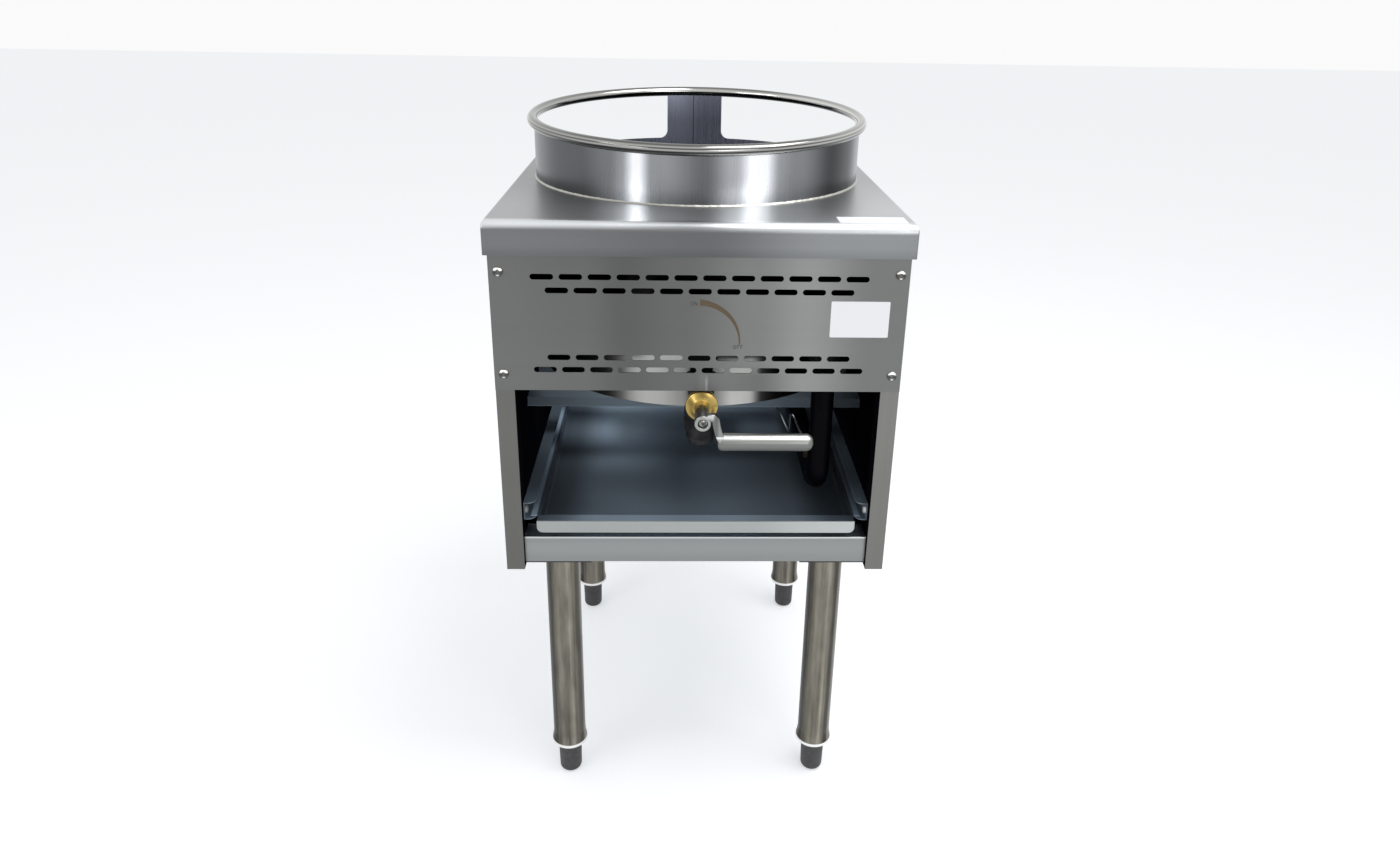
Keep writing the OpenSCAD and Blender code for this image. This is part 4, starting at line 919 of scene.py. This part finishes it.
def plate_light(finish, x, y, z):
    """Painted light. Top: pale, painted darker to the back. Front fold: a painted highlight to the right.
    Lip: painted darker than the top, and darker low down.
    """
    top = toned(x, 200, [(-0.17, 160), (-0.08, 176), (0.03, 194), (0.11, 210), (0.19, 190)])
    top = top * toned(y, 200, [(-0.20, 200), (0.05, 168)])
    lip = toned(x, 200, [(-0.20, 121), (0.0, 104), (0.14, 138)])
    low = toned(z, 200, [(plate_low.z, 184), (plate_low.z + 0.012, 200)])
    fold = toned(x, 200, [(-0.20, 222), (-0.10, 204), (-0.01, 150), (0.06, 238), (0.215, 250), (0.224, 220)])
    near = y.rise(plate_low.y + 0.019, plate_low.y + 0.006)
    fold_highlight_share = near * z.rise(plate_high.z - 0.0085, plate_high.z - 0.0025)
    is_top = z.rise(plate_high.z - 0.0080, plate_high.z - 0.0010)
    flat = lip * low + (top - lip * low) * is_top
    return flat + (fold - flat) * fold_highlight_share


plate_finish = brushed("top sheet", (199, 202, 204), "X", 0.32, plate_light, 0.12, 0.05)
plate_mesh = closed_grid("folded_top_sheet", np.array(plate_rows), round_u=True, round_v=True)
shown("folded_top_sheet", plate_mesh, plate_finish, "top_plate", sharp=50.0)
strip_right, strip_left = 0.2190, 0.1460
strip_back, strip_front = -0.2160, -0.2430
strip_corner = 0.001
strip_lift = 0.0002
strip_outline = sticker_outline(strip_right, strip_left, strip_back, strip_front, strip_corner)
strip_mesh = raised("blank_strip", [strip_outline], (0.0, 0.0, plate_high.z), across=(1, 0, 0),
                    along=(0, 1, 0), out=(0, 0, 1), lift=strip_lift)
shown("blank_strip", strip_mesh, label_finish, "top_plate", stands_in=False)

# The drum hangs under the plate round the burner. It is the ring's own sheet,
# brushed outside and dark within from the fire.


def from_axis(x, y):
    """Distance from the upright axis of the ring and the drum."""
    return (x * x + (y - ring_y) * (y - ring_y)).root()


def drum_light(finish, x, y, z):
    """Brushed outside, with painted reflections, pale and dark patches where the room shows in it, and dark
    inside.
    """
    outside = from_axis(x, y).rise(*ring_skin)
    low = toned(x, 170, [(-0.12, 120), (-0.06, 168), (-0.01, 130), (0.02, 122), (0.045, 176), (0.062, 172),
                         (0.080, 66)])
    high = toned(x, 170, [(-0.115, 90), (-0.075, 104), (-0.055, 168), (-0.02, 168), (-0.004, 34), (0.03, 60),
                          (0.05, 24)])
    upper = toned(x, 170, [(-0.09, 20), (-0.075, 66), (-0.06, 72), (-0.045, 30), (0.02, 26), (0.03, 50),
                           (0.045, 20)])
    spot = low + (high - low) * z.rise(0.590, 0.602)
    spot = spot + (upper - spot) * z.rise(0.62, 0.66)
    return 0.25 + (spot - 0.25) * outside


drum_finish = brushed("drum sheet", (171, 171, 168), "Z", 0.36, drum_light)
dressed("combustion_drum", drum_finish, 0.0004)

# The wok ring: a rolled collar with two windows at the rear and a post between
# them, its upper edge seated in the rim's bead. The windows' lower corners are round.
bead_low, bead_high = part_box("rim_bead")
bead_r = 0.0065
bead_ring_r = 0.2093
rim_z = (bead_low.z + bead_high.z) / 2
rim_tilt = math.radians(3.0)
rim_slope = math.tan(rim_tilt)
bead_sink = 0.004
sill_z = plate_high.z + 0.0173
window_r = 0.011
post_angle = math.radians(11.2)
window_end = math.pi / 2
cut_slant = 0.0008


def rim_height(angle):
    """Height of the bead's middle line at an angle from the back; the rim slopes up to the back."""
    return rim_z + math.cos(angle) * ring_r * rim_slope


def half_ring_edge():
    """Angles from the back and heights of the collar's upper edge, from the post to the front."""
    on_post = np.linspace(0.0, post_angle - cut_slant, 6)
    on_front = np.linspace(window_end + cut_slant, np.pi, 49)
    corner = [(window_r / ring_r * (1 - math.cos(turn)), sill_z + window_r * (1 - math.sin(turn)))
              for turn in np.linspace(0.0, np.pi / 2, 9)]
    sill = np.linspace(post_angle + corner[-1][0], window_end - corner[-1][0], 28)[1:-1]
    edge = [(angle, rim_height(angle) - bead_sink) for angle in on_post]
    edge += [(post_angle + turned_by, height) for turned_by, height in corner]
    edge += [(angle, sill_z) for angle in sill]
    edge += [(window_end - turned_by, height) for turned_by, height in corner[::-1]]
    return edge + [(angle, rim_height(angle) - bead_sink) for angle in on_front]


half_edge = half_ring_edge()
ring_edge = half_edge + [(2 * np.pi - angle, height) for angle, height in half_edge[-2:0:-1]]
ring_rows = []
for radius, up_share in ((ring_r, 0.0), (ring_r, 0.5), (ring_r, 1.0), (ring_r - ring_t, 1.0),
                         (ring_r - ring_t, 0.5), (ring_r - ring_t, 0.0)):
    ring_rows.append([(radius * math.sin(angle), ring_y + radius * math.cos(angle),
                       plate_high.z + up_share * (height - plate_high.z)) for angle, height in ring_edge])


def ring_light(finish, x, y, z):
    """Painted reflection: streaks of light down the collar's front, as it picks up the room, painted shade at
    its foot, and a dark seam at the post. Within, it is darker, and painted lighter to the back and low down.
    """
    angle = x.math("ARCTAN2", x, ring_y - y)
    body = toned(angle, 200, [(-1.5, 140), (-1.18, 114), (-0.92, 98), (-0.72, 100), (-0.52, 124),
                              (-0.40, 160), (-0.20, 150), (0.03, 102), (0.22, 165), (0.42, 160),
                              (0.56, 138), (0.86, 66), (1.05, 82), (1.28, 156)])
    streaks = 1.25 * angle.hump(-0.349, 0.085) + 1.6 * angle.hump(0.323, 0.13)
    low = toned(z, 200, [(plate_high.z, 170), (plate_high.z + 0.02, 200)])
    wander = finish.noise((0.0, 0.0, 60.0), 3.0)
    seam = (x + 0.0015 + 0.0024 * (wander - 0.5)).hump(0.0, 0.0012) * y.rise(ring_y, ring_y + 0.01)
    outside = from_axis(x, y).rise(*ring_skin)
    within = 0.42 + 0.11 * y.rise(ring_y - 0.1, ring_y + 0.2)
    within = within * (1.0 + 0.6 * z.rise(sill_z + 0.03, sill_z - 0.01))
    return (within + ((body + streaks) * low - within) * outside) * (1.0 - 0.8 * seam)


def ring_tint(finish, x, y, z):
    """Bluer within, from the fire."""
    outside = from_axis(x, y).rise(*ring_skin)
    return finish.mix(outside, shade(190, 196, 216), shade(199, 201, 205))


ring_finish = brushed("ring sheet", (199, 201, 204), "Z", 0.28, ring_light, 0.08, 0.02, ring_tint)
ring_mesh = closed_grid("rolled_collar", np.array(ring_rows), round_u=True, round_v=True)
shown("rolled_collar", ring_mesh, ring_finish, "wok_ring", sharp=40.0)

# The weld that joins the collar to the plate runs all the way round its foot.
# It is ground down, pale and a little uneven.
weld_size = 0.0019
weld_count = 720
weld_turn = np.linspace(0.0, 2 * np.pi, weld_count, endpoint=False)
weld_swell = weld_size * (0.95 + 0.10 * np.sin(61 * weld_turn) * np.sin(17 * weld_turn + 1.0)
                          + 0.06 * np.sin(143 * weld_turn + 2.0))
weld_rows = []
weld_section = ((-0.2, 0.0), (1.0, 0.0), (0.75, 0.2), (0.45, 0.5), (0.2, 0.8), (0.0, 1.0), (-0.2, 1.0))
for out_share, up_share in weld_section:
    out = ring_r + out_share * weld_swell
    weld_rows.append(np.column_stack([out * np.sin(weld_turn), ring_y + out * np.cos(weld_turn),
                                      plate_high.z + up_share * weld_swell]))
weld_finish = brushed("ground weld", (184, 183, 177), "Z", 0.42)
weld_mesh = closed_grid("ground_weld", np.array(weld_rows), round_u=True, round_v=True)
shown("ground_weld", weld_mesh, weld_finish, "ring_weld")

# The rim: a polished tube bead, welded on round the collar's upper edge. It
# slopes up a little to the back.
bead_turn = np.linspace(0.0, 2 * np.pi, 256, endpoint=False)
bead_rows = []
for t in np.linspace(0.0, 2 * np.pi, 32, endpoint=False):
    out = bead_ring_r + bead_r * math.cos(t)
    along = out * np.cos(bead_turn)
    up = bead_r * math.sin(t)
    bead_rows.append(np.column_stack([out * np.sin(bead_turn),
                                      ring_y + along * math.cos(rim_tilt) - up * math.sin(rim_tilt),
                                      rim_z + along * math.sin(rim_tilt) + up * math.cos(rim_tilt)]))


def bead_light(finish, x, y, z):
    """Painted reflections: rings of light and dark that run along the tube. Each is a place round the tube's
    own section:
    0 outside, a quarter turn on top, a half inside. The lower ring fades near the middle, all are
    softer at the sides, and the right side is painted brighter."""
    up = z - rim_z - rim_slope * (y - ring_y)
    out = from_axis(x, y) - bead_ring_r
    turn = up.math("ARCTAN2", up, out)
    bands = toned(turn, 200, [(-3.14, 156), (-2.98, 100), (-2.66, 44), (-1.5, 26), (-1.09, 54), (-0.79, 160),
                              (-0.48, 96), (-0.21, 62), (0.08, 196), (0.344, 84), (0.59, 190), (0.965, 110),
                              (1.29, 128), (1.75, 112), (2.17, 130), (2.79, 210), (3.14, 156)])
    bands = bands * (1.0 - 0.7 * x.hump(-0.022, 0.035) * turn.hump(-0.79, 0.3))
    side = x.size().rise(0.10, 0.19)
    broad = toned(up, 200, [(-0.006, 124), (0.0, 134), (0.004, 172)])
    return (bands + (broad - bands) * 0.4 * side) * (0.82 + 0.46 * x.rise(0.08, 0.19))


bead_finish = brushed("polished bead", (201, 201, 198), "Z", 0.14, bead_light, 0.08, 0.02)
bead_mesh = closed_grid("rim_tube", np.array(bead_rows), round_u=True, round_v=True)
shown("rim_tube", bead_mesh, bead_finish, "rim_bead")
